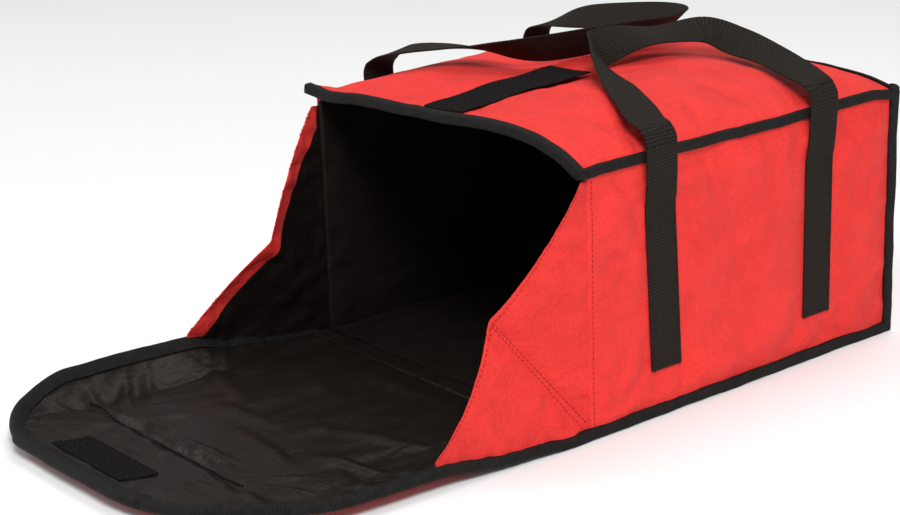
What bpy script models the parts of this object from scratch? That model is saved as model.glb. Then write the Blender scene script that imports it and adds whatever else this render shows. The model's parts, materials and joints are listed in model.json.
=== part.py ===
"""Padded pizza delivery bag with a fold-down front flap.

Metres, +Z up. The origin is the centre of the base's underside, +X is the bag's right side and
-Y is the opening. The bag stands with its flap down: the flap lies on the ground in front, the
gussets fold slightly inwards and both handles lie on the top with their grips side by side.
"""
import math

import bmesh
import bpy
from mathutils import Vector

# Padded box
WIDTH = 0.350
DEPTH = 0.370
HEIGHT = 0.226
FRONT_ARCH = 0.022
REAR_ARCH = 0.012
CROWN = 0.0145
FRONT_ARCH_POWER = 4.8
REAR_ARCH_POWER = 2.6
TOP_OVERHANG = 0.006

# Layers of every padded panel, from the outside in, and the space between two pieces
SHELL = 0.0012
FOAM = 0.0055
LINING = 0.0010
FOAM_SET_BACK = 0.004
GAP = 0.0003

# Edge tape
TAPE_WIDTH = 0.013
TOP_TAPE_WIDTH = 0.010
TAPE_THICKNESS = 0.003

# Front flap: main panel, then the closing tongue beyond the crease
HINGE_SET_OUT = 0.0135
FLAP_LENGTH = 0.248
FLAP_EASE = 0.001
FLAP_LEAN = math.radians(3.4)
TONGUE_LENGTH = 0.090
LEFT_CORNER = 0.098
RIGHT_CORNER = 0.140
LEFT_LIP = 0.026
RIGHT_LIP = 0.005
LIP_REACH = 0.016

# Gussets between the side walls and the flap
GUSSET_TOP_DROP = 0.010
GUSSET_FOLD_INSET = 0.030
GUSSET_FOLD_REACH = 0.077
GUSSET_FOLD_HEIGHT = 0.114
GUSSET_TIP_REACH = 0.136
GUSSET_TIP_HEIGHT = 0.006
GUSSET_END_WIDTH = 0.005
GUSSET_SHELL = 0.0010
GUSSET_LINING = 0.0008

# Closure: loop strip on the top, hook pad on the tongue's lining
LOOP_STRIP_WIDTH = 0.050
LOOP_STRIP_LENGTH = 0.147
LOOP_STRIP_THICKNESS = 0.0012
LOOP_STRIP_OFFSET = 0.006
HOOK_PAD_WIDTH = 0.100
HOOK_PAD_LENGTH = 0.036
HOOK_PAD_THICKNESS = 0.0012
HOOK_PAD_SET_IN = 0.0365
HOOK_PAD_OFFSET = -0.027

# Handles: webbing sewn to the side walls, free above the last stitches
WEBBING_WIDTH = 0.034
WEBBING_THICKNESS = 0.0018
LEG_FRONT_SET_IN = 0.086
LEG_REAR_SET_IN = 0.101
LEG_BOTTOM = 0.041
LEG_TOP_DROP = 0.048
FRONT_LEG_LEAN = -0.010
REAR_LEG_LEAN = 0
EDGE_BULGE = 0.0055
EDGE_RISE = 0.006
WEBBING_LIFT = 0.0075

# Routes of the webbing. A riser: shares of its lean and its height. A loop, from its front leg over
# the grip to its rear leg: share of the half width, share of the way from the front leg to the rear
# leg, lift over the top in webbing lifts, heading and tilt in degrees
RISER_SHARES = ((0, 0), (0.3, 0.15), (0.75, 0.5), (0.95, 0.8), (1, 1))
RIGHT_LOOP_SHARES = (
    (0.970, 0.000, 1.9, 180, 0), (0.903, 0.021, 1.7, 174, 2), (0.794, 0.073, 1.0, 163, 5),
    (0.651, 0.135, 0.8, 154, 12), (0.491, 0.212, 1.1, 149, 22), (0.326, 0.290, 1.7, 143, 38),
    (0.200, 0.347, 2.2, 130, 54), (0.120, 0.435, 2.1, 100, 50), (0.114, 0.627, 2.25, 95, 28),
    (0.137, 0.834, 2.2, 84, 14), (0.223, 1.021, 2.6, 42, 30), (0.360, 1.098, 1.75, 10, 28),
    (0.554, 1.104, 1.35, 0, 16), (0.743, 1.073, 1.35, -2, 9), (0.886, 1.031, 1.85, 0, 4),
    (0.970, 1.000, 1.9, 0, 0),
)
LEFT_LOOP_SHARES = (
    (0.970, 0.000, 1.9, 180, 0), (0.903, 0.026, 2.3, 172, -4), (0.783, 0.062, 1.8, 160, -2),
    (0.600, 0.109, 1.3, 151, 5), (0.423, 0.155, 1.2, 146, 14), (0.274, 0.223, 1.3, 135, 24),
    (0.171, 0.347, 1.45, 112, 30), (0.126, 0.523, 1.5, 97, 32), (0.120, 0.793, 1.5, 92, 32),
    (0.120, 1.031, 1.8, 80, 34), (0.143, 1.161, 2.2, 40, 36), (0.274, 1.192, 2.3, 12, 32),
    (0.503, 1.135, 2.1, 0, 28), (0.743, 1.067, 2.2, 0, 22), (0.891, 1.021, 2.4, 0, 10),
    (0.970, 1.000, 1.9, 0, 0),
)

# Mesh density
ACROSS = 14
ALONG = 12
WEBBING_STEPS = 3

LAYERS = (("shell", SHELL), ("foam", FOAM), ("lining", LINING))
PANEL = SHELL + FOAM + LINING + 2 * GAP
HALF_WIDTH = WIDTH / 2
FRONT = -DEPTH / 2
REAR = DEPTH / 2
FLAP_HALF_WIDTH = HALF_WIDTH + FLAP_EASE
TOP_FRONT = FRONT - TOP_OVERHANG
HINGE_Y = FRONT - HINGE_SET_OUT
HINGE_Z = PANEL
CREASE_Y = HINGE_Y - FLAP_LENGTH
TAPE_OFFSET = GAP + TAPE_THICKNESS / 2
WEBBING_OFFSET = GAP + WEBBING_THICKNESS / 2
LEG_TOP = HEIGHT - LEG_TOP_DROP
AXIS_X = HALF_WIDTH + EDGE_BULGE
AXIS_Z = HEIGHT + EDGE_RISE
FRONT_LEG = (FRONT + LEG_FRONT_SET_IN, FRONT_LEG_LEAN)
REAR_LEG = (REAR - LEG_REAR_SET_IN, REAR_LEG_LEAN)


def clear_scene():
    for ob in list(bpy.data.objects):
        bpy.data.objects.remove(ob, do_unlink=True)


def make_collection(name):
    collection = bpy.data.collections.new(name)
    bpy.context.scene.collection.children.link(collection)
    return collection


def make_material(name, color, roughness, metallic=0.0):
    material = bpy.data.materials.new(name)
    material.use_nodes = True
    material.diffuse_color = (*color, 1.0)
    shader = material.node_tree.nodes["Principled BSDF"]
    shader.inputs["Base Color"].default_value = (*color, 1.0)
    shader.inputs["Roughness"].default_value = roughness
    shader.inputs["Metallic"].default_value = metallic
    return material


def make_joint(collection, name, place, parent=None):
    """An empty on a joint's axis, which carries the pieces that turn with it."""
    empty = bpy.data.objects.new(name, None)
    collection.objects.link(empty)
    empty.empty_display_size = TAPE_WIDTH
    empty["place"] = place
    empty.location = Vector(place) - (Vector(parent["place"]) if parent else Vector())
    empty.parent = parent
    return empty


def add_object(collection, name, bm, material, joint=None):
    """Turns a bmesh in world coordinates into an object, carried by its joint if it has one."""
    bmesh.ops.recalc_face_normals(bm, faces=bm.faces[:])
    if joint:
        bmesh.ops.translate(bm, verts=bm.verts[:], vec=-Vector(joint["place"]))
    mesh = bpy.data.meshes.new(name)
    bm.to_mesh(mesh)
    bm.free()
    mesh.materials.append(material)
    ob = bpy.data.objects.new(name, mesh)
    collection.objects.link(ob)
    ob.parent = joint
    return ob


def slab(near, far, cells):
    """Closed solid between two surfaces, each a function of u and v from 0 to 1."""
    bm = bmesh.new()
    bmesh.ops.create_grid(bm, x_segments=cells[0], y_segments=cells[1], size=0.5)
    first = bm.verts[:]
    made = bmesh.ops.extrude_face_region(bm, geom=bm.faces[:], use_keep_orig=True)
    second = [v for v in made["geom"] if isinstance(v, bmesh.types.BMVert)]
    for verts, surface in ((first, near), (second, far)):
        for v in verts:
            v.co = surface(v.co.x + 0.5, v.co.y + 0.5)
    return bm


def sweep(path, width, thickness, end_direction=None, corner_share=0.3):
    """Closed flat bar along a path of (point, width direction), its edges rounded, its ends cut square."""
    cut = thickness * corner_share
    half_w, half_t = width / 2, thickness / 2
    outline = [
        (half_w, half_t - cut), (half_w - cut, half_t), (cut - half_w, half_t), (-half_w, half_t - cut),
        (-half_w, cut - half_t), (cut - half_w, -half_t), (half_w - cut, -half_t), (half_w, cut - half_t),
    ]
    bm = bmesh.new()
    rings = []
    for n, (point, across) in enumerate(path):
        before, after = path[max(n - 1, 0)][0], path[min(n + 1, len(path) - 1)][0]
        tangent = (Vector(after) - Vector(before)).normalized()
        if end_direction and n in (0, len(path) - 1):
            tangent = Vector(end_direction) * math.copysign(1, tangent.dot(Vector(end_direction)))
        across = Vector(across)
        across = (across - across.dot(tangent) * tangent).normalized()
        normal = tangent.cross(across)
        rings.append([bm.verts.new(Vector(point) + across * a + normal * b) for a, b in outline])
    for one, two in zip(rings, rings[1:]):
        for k in range(len(outline)):
            m = (k + 1) % len(outline)
            bm.faces.new((one[k], one[m], two[m], two[k]))
    bm.faces.new(rings[0])
    bm.faces.new(rings[-1])
    return bm


def mix(a, b, t):
    return a + (b - a) * t


def smooth_path(knots, steps):
    """Points along a Catmull-Rom curve through the knots, with the knots' last value blended too."""
    points = []
    for n in range(len(knots) - 1):
        k0, k1 = knots[max(n - 1, 0)], knots[n]
        k2, k3 = knots[n + 1], knots[min(n + 2, len(knots) - 1)]
        for s in range(steps + (n == len(knots) - 2)):
            t = s / steps
            points.append(tuple(
                (2 * b + (c - a) * t + (2 * a - 5 * b + 4 * c - d) * t**2
                 + (3 * b - a - 3 * c + d) * t**3) / 2
                for a, b, c, d in zip(k0, k1, k2, k3)
            ))
    return points


def top_height(x, y):
    """Height of the top panel's outer surface: arched edges and a crowned middle."""
    back = (y - TOP_FRONT) / (REAR - TOP_FRONT)
    across = 1 - min(abs(x) / HALF_WIDTH, 1) ** mix(FRONT_ARCH_POWER, REAR_ARCH_POWER, back)
    return HEIGHT + across * (mix(FRONT_ARCH, REAR_ARCH, back) + CROWN * 4 * back * (1 - back))


def flap_centre(y):
    """Sideways place of the flap's centre line, which leans to the left away from the hinge."""
    return math.tan(FLAP_LEAN) * (y - HINGE_Y)


def flap_edge(sign, y):
    """Sideways place of the flap's left (-1) or right (1) edge, with the tongue's round corner."""
    corner = LEFT_CORNER if sign < 0 else RIGHT_CORNER
    into_corner = max(CREASE_Y - TONGUE_LENGTH + corner - y, 0)
    drawn_in = corner - math.sqrt(max(corner**2 - into_corner**2, 0))
    return flap_centre(y) + sign * (FLAP_HALF_WIDTH - drawn_in)


def flap_rise(x, y):
    """How far the flap's underside stands off the ground: its side lips rise, most where the gussets end."""
    reach = HINGE_Y - y
    beyond = max(reach - GUSSET_TIP_REACH, 0) / (FLAP_LENGTH - GUSSET_TIP_REACH)
    out = min(reach / GUSSET_TIP_REACH, 1) ** 2 * max(1 - beyond**2, 0)
    sign, lip = (-1, LEFT_LIP) if x < flap_centre(y) else (1, RIGHT_LIP)
    inward = max(1 - abs(x - flap_edge(sign, y)) / LIP_REACH, 0)
    return lip * out * inward**2


def add_box_layers(collection, materials):
    """Base, sides, rear and top, each of three layers that nest inside those of the layer outside."""
    inset = 0
    for layer, thick in LAYERS:
        deep = inset + thick
        clear = deep + GAP
        material = materials[layer]
        x_in, x_out = HALF_WIDTH - clear, HALF_WIDTH - inset
        add_object(collection, f"base_{layer}", slab(
            lambda u, v: (mix(-x_in, x_in, u), mix(HINGE_Y, REAR - clear, v), inset),
            lambda u, v: (mix(-x_in, x_in, u), mix(HINGE_Y, REAR - clear, v), deep),
            (2, 2)), material)
        for side, sign in (("left", -1), ("right", 1)):
            def wall(depth, u, v):
                y = mix(FRONT + (FOAM_SET_BACK if layer == "foam" else 0), REAR - clear, u)
                return (sign * (HALF_WIDTH - depth), y, mix(inset, top_height(x_out, y) - clear, v))
            add_object(collection, f"{side}_wall_{layer}", slab(
                lambda u, v: wall(inset, u, v), lambda u, v: wall(deep, u, v), (ALONG, 2)), material)

        def back_wall(depth, u, v):
            x = mix(-x_out, x_out, u)
            return (x, REAR - depth, mix(inset, top_height(x, REAR) - clear, v))
        add_object(collection, f"rear_wall_{layer}", slab(
            lambda u, v: back_wall(inset, u, v), lambda u, v: back_wall(deep, u, v), (ACROSS, 2)), material)

        def roof(depth, u, v):
            x = x_out * math.sin(mix(-math.pi, math.pi, u) / 2)
            y = min(mix(TOP_FRONT, REAR, v), REAR - inset)
            return (x, y, top_height(x, y) - depth)
        add_object(collection, f"top_{layer}", slab(
            lambda u, v: roof(inset, u, v), lambda u, v: roof(deep, u, v), (2 * ACROSS, ALONG)), material)
        inset = clear


def add_box_tape(collection, material):
    """Tape bars along the box's edges, each lying on the panel beside its seam."""
    across_z, side_x = (0, 0, 1), HALF_WIDTH + TAPE_OFFSET
    low, high = TAPE_WIDTH / 2, HEIGHT - TOP_TAPE_WIDTH / 2
    start = HINGE_Y + GAP
    for side, sign in (("left", -1), ("right", 1)):
        x = sign * side_x
        add_object(collection, f"{side}_base_tape", sweep(
            [((x, start, low), across_z), ((x, REAR, low), across_z)], TAPE_WIDTH, TAPE_THICKNESS), material)
        add_object(collection, f"{side}_top_tape", sweep(
            [((x, TOP_FRONT, high), across_z), ((x, REAR, high), across_z)],
            TOP_TAPE_WIDTH, TAPE_THICKNESS), material)
        y = REAR - TAPE_WIDTH / 2
        ends = (TAPE_WIDTH + GAP, HEIGHT - TOP_TAPE_WIDTH - GAP)
        add_object(collection, f"{side}_rear_tape", sweep(
            [((x, y, z), (0, 1, 0)) for z in ends], TAPE_WIDTH, TAPE_THICKNESS), material)
    y = REAR + TAPE_OFFSET
    add_object(collection, "rear_base_tape", sweep(
        [((x, y, low), across_z) for x in (-HALF_WIDTH, HALF_WIDTH)], TAPE_WIDTH, TAPE_THICKNESS), material)
    arch = [mix(-HALF_WIDTH, HALF_WIDTH, n / (2 * ACROSS)) for n in range(2 * ACROSS + 1)]
    for name, y, edge in (("rear_top_tape", y, REAR), ("front_top_tape", TOP_FRONT - TAPE_OFFSET, TOP_FRONT)):
        path = [((x, y, top_height(x, edge) - TOP_TAPE_WIDTH / 2), across_z) for x in arch]
        add_object(collection, name, sweep(path, TOP_TAPE_WIDTH, TAPE_THICKNESS), material)


def flap_layer(place, base, cells):
    """Slab of the flap between two heights over its own underside; place gives x and y for u and v."""
    low, high = base

    def surface(height, u, v):
        x, y = place(u, v)
        return (x, y, flap_rise(x, y) + height)
    return slab(lambda u, v: surface(low, u, v), lambda u, v: surface(high, u, v), cells)


def flap_place(u, v):
    y = mix(HINGE_Y - GAP, CREASE_Y + GAP, v)
    return mix(flap_edge(-1, y), flap_edge(1, y), u), y


def tongue_place(u, v):
    y = CREASE_Y - mix(GAP, TONGUE_LENGTH, math.sin(v * math.pi / 2))
    return mix(flap_edge(-1, y), flap_edge(1, y), u), y


def edge_tape(points):
    """Tape bar just outside an edge of the flap, whose points run anticlockwise seen from above."""
    path = []
    for n, (x, y) in enumerate(points):
        before, after = points[max(n - 1, 0)], points[min(n + 1, len(points) - 1)]
        along = (Vector(after) - Vector(before)).normalized()
        place = (x + along.y * TAPE_OFFSET, y - along.x * TAPE_OFFSET, flap_rise(x, y) + PANEL / 2)
        path.append((place, (0, 0, 1)))
    return sweep(path, PANEL, TAPE_THICKNESS, (0, 1, 0))


def add_flap(collection, materials, flap, tongue):
    """The flap's main panel and tongue in three layers, their edge tape and the hook pad."""
    cells = (2 * ACROSS, ALONG)
    base = 0
    for layer, thick in LAYERS:
        heights = (base, base + thick)
        for part, place, joint in (("flap", flap_place, flap), ("tongue", tongue_place, tongue)):
            add_object(collection, f"{part}_{layer}", flap_layer(place, heights, cells),
                       materials[layer], joint)
        base += thick + GAP
    tape = materials["tape"]
    steps = [n / ALONG for n in range(ALONG + 1)]
    flap_left = [flap_place(0, v) for v in steps]
    flap_right = [flap_place(1, v) for v in steps[::-1]]
    tongue_left = [tongue_place(0, v) for v in steps]
    tongue_right = [tongue_place(1, v) for v in steps[::-1]]
    add_object(collection, "flap_left_tape", edge_tape(flap_left), tape, flap)
    add_object(collection, "flap_right_tape", edge_tape(flap_right), tape, flap)
    add_object(collection, "tongue_tape", edge_tape(tongue_left + tongue_right), tape, tongue)

    def pad_place(u, v):
        y = CREASE_Y - HOOK_PAD_SET_IN - v * HOOK_PAD_LENGTH
        return flap_centre(y) + HOOK_PAD_OFFSET + mix(-HOOK_PAD_WIDTH, HOOK_PAD_WIDTH, u) / 2, y
    heights = (PANEL + GAP, PANEL + GAP + HOOK_PAD_THICKNESS)
    add_object(collection, "hook_pad", flap_layer(pad_place, heights, (1, 1)), materials["hook"], tongue)


def gusset_surface(sign, depth):
    """Bellows between wall and flap. u runs down the wall's seam and along the flap, v to the free edge."""
    seam_x = HALF_WIDTH
    top = Vector((seam_x, FRONT - GAP, HEIGHT - GUSSET_TOP_DROP))
    corner = Vector((seam_x, FRONT - GAP, PANEL + GAP))
    fold = Vector((seam_x - GUSSET_FOLD_INSET, FRONT - GUSSET_FOLD_REACH, GUSSET_FOLD_HEIGHT))
    tip_y = HINGE_Y - GUSSET_TIP_REACH
    edge_x = seam_x + sign * flap_centre(tip_y)
    tip_rise = flap_rise(sign * edge_x, tip_y)
    tip = Vector((edge_x, tip_y, tip_rise + PANEL + GAP))
    end = Vector((0, -GUSSET_END_WIDTH, 0))
    rise = Vector((0, 0, GUSSET_END_WIDTH + GUSSET_TIP_HEIGHT))

    def surface(u, v):
        part = u * 2
        if part < 1:
            fixed, free = top.lerp(corner, part), (top + end).lerp(fold, part)
        else:
            fixed, free = corner.lerp(tip, part - 1), fold.lerp(tip + rise, part - 1)
            y = min(fixed.y, HINGE_Y)
            fixed.x = seam_x + sign * flap_centre(y)
            fixed.z = PANEL + GAP + flap_rise(flap_centre(y) + sign * FLAP_HALF_WIDTH, y)
        point = fixed.lerp(free, v)
        return (sign * (point.x - depth), point.y, point.z)
    return surface


def add_gussets(collection, materials):
    """The two side gussets, fabric outside and lining inside, without foam."""
    inner = GUSSET_SHELL + GAP
    layers = (("shell", 0, GUSSET_SHELL), ("lining", inner, inner + GUSSET_LINING))
    for side, sign in (("left", -1), ("right", 1)):
        for layer, near, far in layers:
            add_object(collection, f"{side}_gusset_{layer}", slab(
                gusset_surface(sign, near), gusset_surface(sign, far), (2 * ACROSS, ALONG // 2)),
                materials[layer])


def add_loop_strip(collection, material):
    """Soft side of the closure, sewn along the middle of the top from its front edge."""
    def surface(depth, u, v):
        x = LOOP_STRIP_OFFSET + mix(-LOOP_STRIP_WIDTH, LOOP_STRIP_WIDTH, u) / 2
        y = TOP_FRONT + v * LOOP_STRIP_LENGTH
        return (x, y, top_height(x, y) + depth)
    add_object(collection, "loop_strip", slab(
        lambda u, v: surface(GAP, u, v), lambda u, v: surface(GAP + LOOP_STRIP_THICKNESS, u, v),
        (2, ALONG)), material)


def webbing_path(sign, knots):
    """Sweep path from knots of x, y, z, heading and tilt; the webbing is level where the tilt is 0."""
    path = []
    for x, y, z, heading, tilt in smooth_path(knots, WEBBING_STEPS):
        flat = math.cos(tilt)
        across = (sign * math.sin(heading) * flat, -math.cos(heading) * flat, -math.sin(tilt))
        path.append(((sign * x, y, z), across))
    return path


def leg_place(leg, z):
    """Y of a handle leg at a height, from its y at the lower end and its lean up to the top edge."""
    low_y, lean = leg
    return low_y + lean * (z - LEG_BOTTOM) / (AXIS_Z - LEG_BOTTOM)


def riser_knots(leg):
    """Free webbing from the last stitches up to the top edge, leaning away from the wall."""
    low_x, low_z, high_z = HALF_WIDTH + WEBBING_OFFSET, LEG_TOP + GAP, AXIS_Z - GAP
    knots = []
    for out, up in RISER_SHARES:
        z = mix(low_z, high_z, up)
        knots.append((mix(low_x, AXIS_X, out), leg_place(leg, z), z, math.pi, 0))
    return knots


def loop_knots(shares):
    """One handle: front leg inwards over the edge, grip along the middle, rear leg outwards."""
    front_y, rear_y = leg_place(FRONT_LEG, AXIS_Z), leg_place(REAR_LEG, AXIS_Z)
    upright = (AXIS_Z + GAP, AXIS_Z + EDGE_RISE)
    knots = [(AXIS_X, front_y, z, math.pi, 0) for z in upright]
    for across, along, lift, heading, tilt in shares:
        x, y = across * HALF_WIDTH, mix(front_y, rear_y, along)
        z = top_height(x, y) + lift * WEBBING_LIFT
        knots.append((x, y, z, math.radians(heading), math.radians(tilt)))
    return knots + [(AXIS_X, rear_y, z, 0, 0) for z in upright[::-1]]


def add_handles(collection, material):
    """Each side: two legs sewn to the wall, two free risers and the loop that lies on the top."""
    sewn_x, fold = HALF_WIDTH + WEBBING_OFFSET, WEBBING_THICKNESS / 2
    for side, sign, shares in (("right", 1, RIGHT_LOOP_SHARES), ("left", -1, LEFT_LOOP_SHARES)):
        riser = make_joint(collection, f"{side}_riser_hinge", (sign * (sewn_x + fold), 0, LEG_TOP))
        loop = make_joint(collection, f"{side}_loop_hinge", (sign * (AXIS_X + fold), 0, AXIS_Z), riser)
        for place, leg in (("front", FRONT_LEG), ("rear", REAR_LEG)):
            sewn = [((sign * sewn_x, leg_place(leg, z), z), (0, 1, 0)) for z in (LEG_BOTTOM, LEG_TOP)]
            free = webbing_path(sign, riser_knots(leg))
            add_object(collection, f"{side}_{place}_handle_leg",
                       sweep(sewn, WEBBING_WIDTH, WEBBING_THICKNESS, (0, 0, 1)), material)
            add_object(collection, f"{side}_{place}_handle_riser",
                       sweep(free, WEBBING_WIDTH, WEBBING_THICKNESS, (0, 0, 1)), material, riser)
        path = webbing_path(sign, loop_knots(shares))
        add_object(collection, f"{side}_handle_loop",
                   sweep(path, WEBBING_WIDTH, WEBBING_THICKNESS, (0, 0, 1)), material, loop)


def main():
    clear_scene()
    collection = make_collection("pizza_delivery_bag")
    red, black = (0.80, 0.06, 0.05), (0.012, 0.011, 0.010)
    materials = {
        "shell": make_material("red_polyester", red, 0.75),
        "foam": make_material("white_foam", (0.85, 0.85, 0.82), 0.9),
        "lining": make_material("black_nylon", (0.02, 0.018, 0.018), 0.45),
        "tape": make_material("black_edge_tape", black, 0.8),
        "webbing": make_material("black_webbing", (0.018, 0.017, 0.015), 0.7),
        "hook": make_material("hook_fastener", (0.03, 0.025, 0.025), 0.85),
        "loop": make_material("loop_fastener", (0.015, 0.014, 0.014), 0.95),
    }
    flap = make_joint(collection, "flap_hinge", (0, HINGE_Y, HINGE_Z))
    tongue = make_joint(collection, "tongue_hinge", (0, CREASE_Y, HINGE_Z), flap)
    add_box_layers(collection, materials)
    add_box_tape(collection, materials["tape"])
    add_flap(collection, materials, flap, tongue)
    add_gussets(collection, materials)
    add_loop_strip(collection, materials["loop"])
    add_handles(collection, materials["webbing"])


main()
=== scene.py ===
"""Looks of a padded delivery bag: fabric, lining, edge tape, webbing, fasteners and stitches.

Laid out as an add-on, and run as a script. Each operator makes one group of pieces around the
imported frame: metres, +Z up, origin at the centre of the base's underside, -Y out of the opening.
"""

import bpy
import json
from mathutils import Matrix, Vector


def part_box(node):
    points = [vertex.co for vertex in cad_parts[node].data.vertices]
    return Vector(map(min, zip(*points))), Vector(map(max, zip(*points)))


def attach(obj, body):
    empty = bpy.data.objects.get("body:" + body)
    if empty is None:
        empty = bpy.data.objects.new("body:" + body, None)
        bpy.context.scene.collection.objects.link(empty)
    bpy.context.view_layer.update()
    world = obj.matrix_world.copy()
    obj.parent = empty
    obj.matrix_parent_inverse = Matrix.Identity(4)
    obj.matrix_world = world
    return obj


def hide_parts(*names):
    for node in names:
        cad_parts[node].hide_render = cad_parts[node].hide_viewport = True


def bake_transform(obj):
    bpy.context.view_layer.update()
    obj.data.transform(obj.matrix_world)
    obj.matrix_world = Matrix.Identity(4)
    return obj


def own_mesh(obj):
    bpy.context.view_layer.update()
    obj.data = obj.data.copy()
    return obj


bl_info = {
    "name": "Padded Delivery Bag",
    "version": (1, 0, 0),
    "blender": (4, 5, 0),
    "location": "View3D > Sidebar > Bag",
    "description": "Builds the fabric, tape, webbing and stitches of a padded delivery bag",
    "category": "Add Mesh",
}

import json
import math

import bmesh
import bpy
from bpy.props import FloatProperty, FloatVectorProperty, IntProperty, PointerProperty
from mathutils import Matrix, Vector, noise

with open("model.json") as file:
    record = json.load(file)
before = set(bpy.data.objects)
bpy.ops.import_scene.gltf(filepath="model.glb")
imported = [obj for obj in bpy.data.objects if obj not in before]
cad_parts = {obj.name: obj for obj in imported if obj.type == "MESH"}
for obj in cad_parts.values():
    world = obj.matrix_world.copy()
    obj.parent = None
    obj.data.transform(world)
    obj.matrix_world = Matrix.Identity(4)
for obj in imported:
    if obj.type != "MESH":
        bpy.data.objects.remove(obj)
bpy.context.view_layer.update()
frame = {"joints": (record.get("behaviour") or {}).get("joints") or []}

MM = 0.001
SIDES = (("left", -1), ("right", 1))
JOINTS = {joint["name"]: Vector(joint["pos_m"]) for joint in frame["joints"]}

# Names of the materials
RED, SATIN, TAPE = "red woven polyester", "black satin nylon", "black binding tape"
WEBBING, FASTENER = "black ribbed webbing", "black fastener"
# The crease groove's thread is near black: painted shadow of the narrow sewn groove it lies in
RED_THREAD, BLACK_THREAD, GROOVE_SHADOW_THREAD = "dark red thread", "black thread", "shadowed thread"

# Places read from the frame
HALF_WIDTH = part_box("right_wall_shell")[1][0]
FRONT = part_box("right_wall_shell")[0][1]
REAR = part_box("rear_wall_shell")[1][1]
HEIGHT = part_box("right_top_tape")[1][2]
TOP_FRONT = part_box("top_shell")[0][1]
HINGE_Y, HINGE_Z = JOINTS["flap_hinge"].y, JOINTS["flap_hinge"].z
CREASE_Y = JOINTS["tongue_hinge"].y
TIP_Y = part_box("tongue_lining")[0][1]
PANEL = HINGE_Z
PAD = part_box("hook_pad")
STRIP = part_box("loop_strip")

# Shape of the arched top. A corner rise is its side, its end, its height and its reach in mm
FRONT_ARCH, REAR_ARCH, CROWN = 22 * MM, 12 * MM, 14.5 * MM
FRONT_ARCH_POWER, REAR_ARCH_POWER = 4.8, 2.6
LEFT_ARCH_DROP, REAR_ARCH_DROP = 0.42, 0.45
CORNER_RISES = ((-1, -1, 11, 34), (1, -1, -1.5, 25), (1, 1, -6, 42), (-1, 1, -6, 42))

# Shape of the flap and the gussets. A rim is lifted by (distance from the hinge, height) in mm
FLAP_LEAN = math.radians(3.4)
CREASE_SHARE = (HINGE_Y - CREASE_Y) / (HINGE_Y - TIP_Y) * 0.94
FLAP_HALF_WIDTH = HALF_WIDTH + 1 * MM
LEFT_CORNER, RIGHT_CORNER = 88 * MM, 146 * MM
LEFT_RIM = ((0, 0), (40, 3), (90, 15), (136, 29), (200, 31), (248, 29), (300, 20), (338, 11))
RIGHT_RIM = ((0, 0), (60, 3), (136, 10), (200, 11), (248, 11), (280, 13), (338, 10))
LEFT_RIM_REACH, RIGHT_RIM_REACH, TIP_RIM_REACH, TIP_RIM_LIFT = 42 * MM, 48 * MM, 70 * MM, 10 * MM
GUSSET_TOP = HEIGHT - 10 * MM
FOLD_INSET, FOLD_REACH, FOLD_HEIGHT = 30 * MM, 77 * MM, 114 * MM
GUSSET_TIP_REACH, GUSSET_END_WIDTH = 136 * MM, 5 * MM
GUSSET_HEM = 16 * MM
GUSSET_SAG = {1: (6 * MM, 9 * MM), -1: (-5 * MM, -3 * MM)}

# Route of the webbing handles: a loop's knots are x, y and z in mm, heading and tilt in degrees
WEBBING_WIDTH, WEBBING_THICKNESS = 34 * MM, 1.8 * MM
LEG_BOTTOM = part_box("right_front_handle_leg")[0][2]
LEG_TOP = JOINTS["right_riser_hinge"].z
SEWN_X = HALF_WIDTH + 1.2 * MM
AXIS_X = JOINTS["right_loop_hinge"].x - WEBBING_THICKNESS / 2
AXIS_Z = JOINTS["right_loop_hinge"].z
FRONT_LEG, REAR_LEG = (FRONT + 86 * MM, -10 * MM), (REAR - 101 * MM, 0)
EDGE_BEND = ((0, 0), (-0.6, 4.5), (-3.5, 9.5), (-9, 13.6))
RISER_SHARES = ((0, 0), (0.3, 0.15), (0.75, 0.5), (0.95, 0.8), (1, 1))
RIGHT_LOOP = (
    (158, -105, 248, 174, 2), (139, -95, 252, 163, 5), (114, -83, 257, 154, 12),
    (86, -68, 262, 149, 24), (57, -53, 266.5, 143, 45), (35, -42, 271, 130, 68),
    (21, -25, 270.5, 100, 60), (20, 12, 274, 95, 28), (24, 52, 271, 84, 14), (39, 88, 271, 42, 30),
    (63, 103, 262, 10, 30), (97, 104, 256, 0, 16), (130, 98, 251, -2, 9), (155, 90, 248, 0, 4),
)
LEFT_LOOP = (
    (158, -104, 254, 172, -6), (137, -97, 259, 160, -2), (105, -88, 263, 151, 6),
    (74, -79, 265, 146, 18), (48, -66, 266, 135, 38), (30, -42, 266, 112, 54), (22, -8, 266, 97, 58),
    (21, 44, 265, 92, 54), (21, 90, 264, 80, 46), (25, 115, 266, 40, 44), (48, 121, 266, 12, 38),
    (88, 110, 263, 0, 34), (130, 97, 258, 0, 28), (156, 88, 252, 0, 12),
)

# Weights of the cloth while it settles: seams are held, foam holds the rest a little
SEAM_HOLD, FOAM_HOLD = 1.0, 0.02
WALL_SEAM, TOP_SEAM, LINING_SEAM = 11 * MM, 9 * MM, 9 * MM

# Thickness of the fabrics
COVER_THICKNESS, LINING_THICKNESS, FLAP_COVER_THICKNESS = 6.6 * MM, 0.8 * MM, 3.6 * MM

# Binding tape: half widths, bulges, where it lies, how far it wavers, and its tucked ends
BASE_TAPE, TOP_TAPE, UPRIGHT_TAPE, FRONT_TAPE = 5.2 * MM, 4.3 * MM, 5.4 * MM, 4.8 * MM
TAPE_BULGE, FRONT_TAPE_BULGE = 2.3 * MM, 3.4 * MM
BASE_TAPE_Z, TAPE_DROP, TAPE_STAND_OFF = 5.3 * MM, 3.2 * MM, 0.6 * MM
TAPE_WAVER, BINDING_WAVER = 0.9 * MM, 0.5 * MM
TAPE_TUCK, END_TAPER = 1.5 * MM, 0.55
WAVER_SEED = 7

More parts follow.
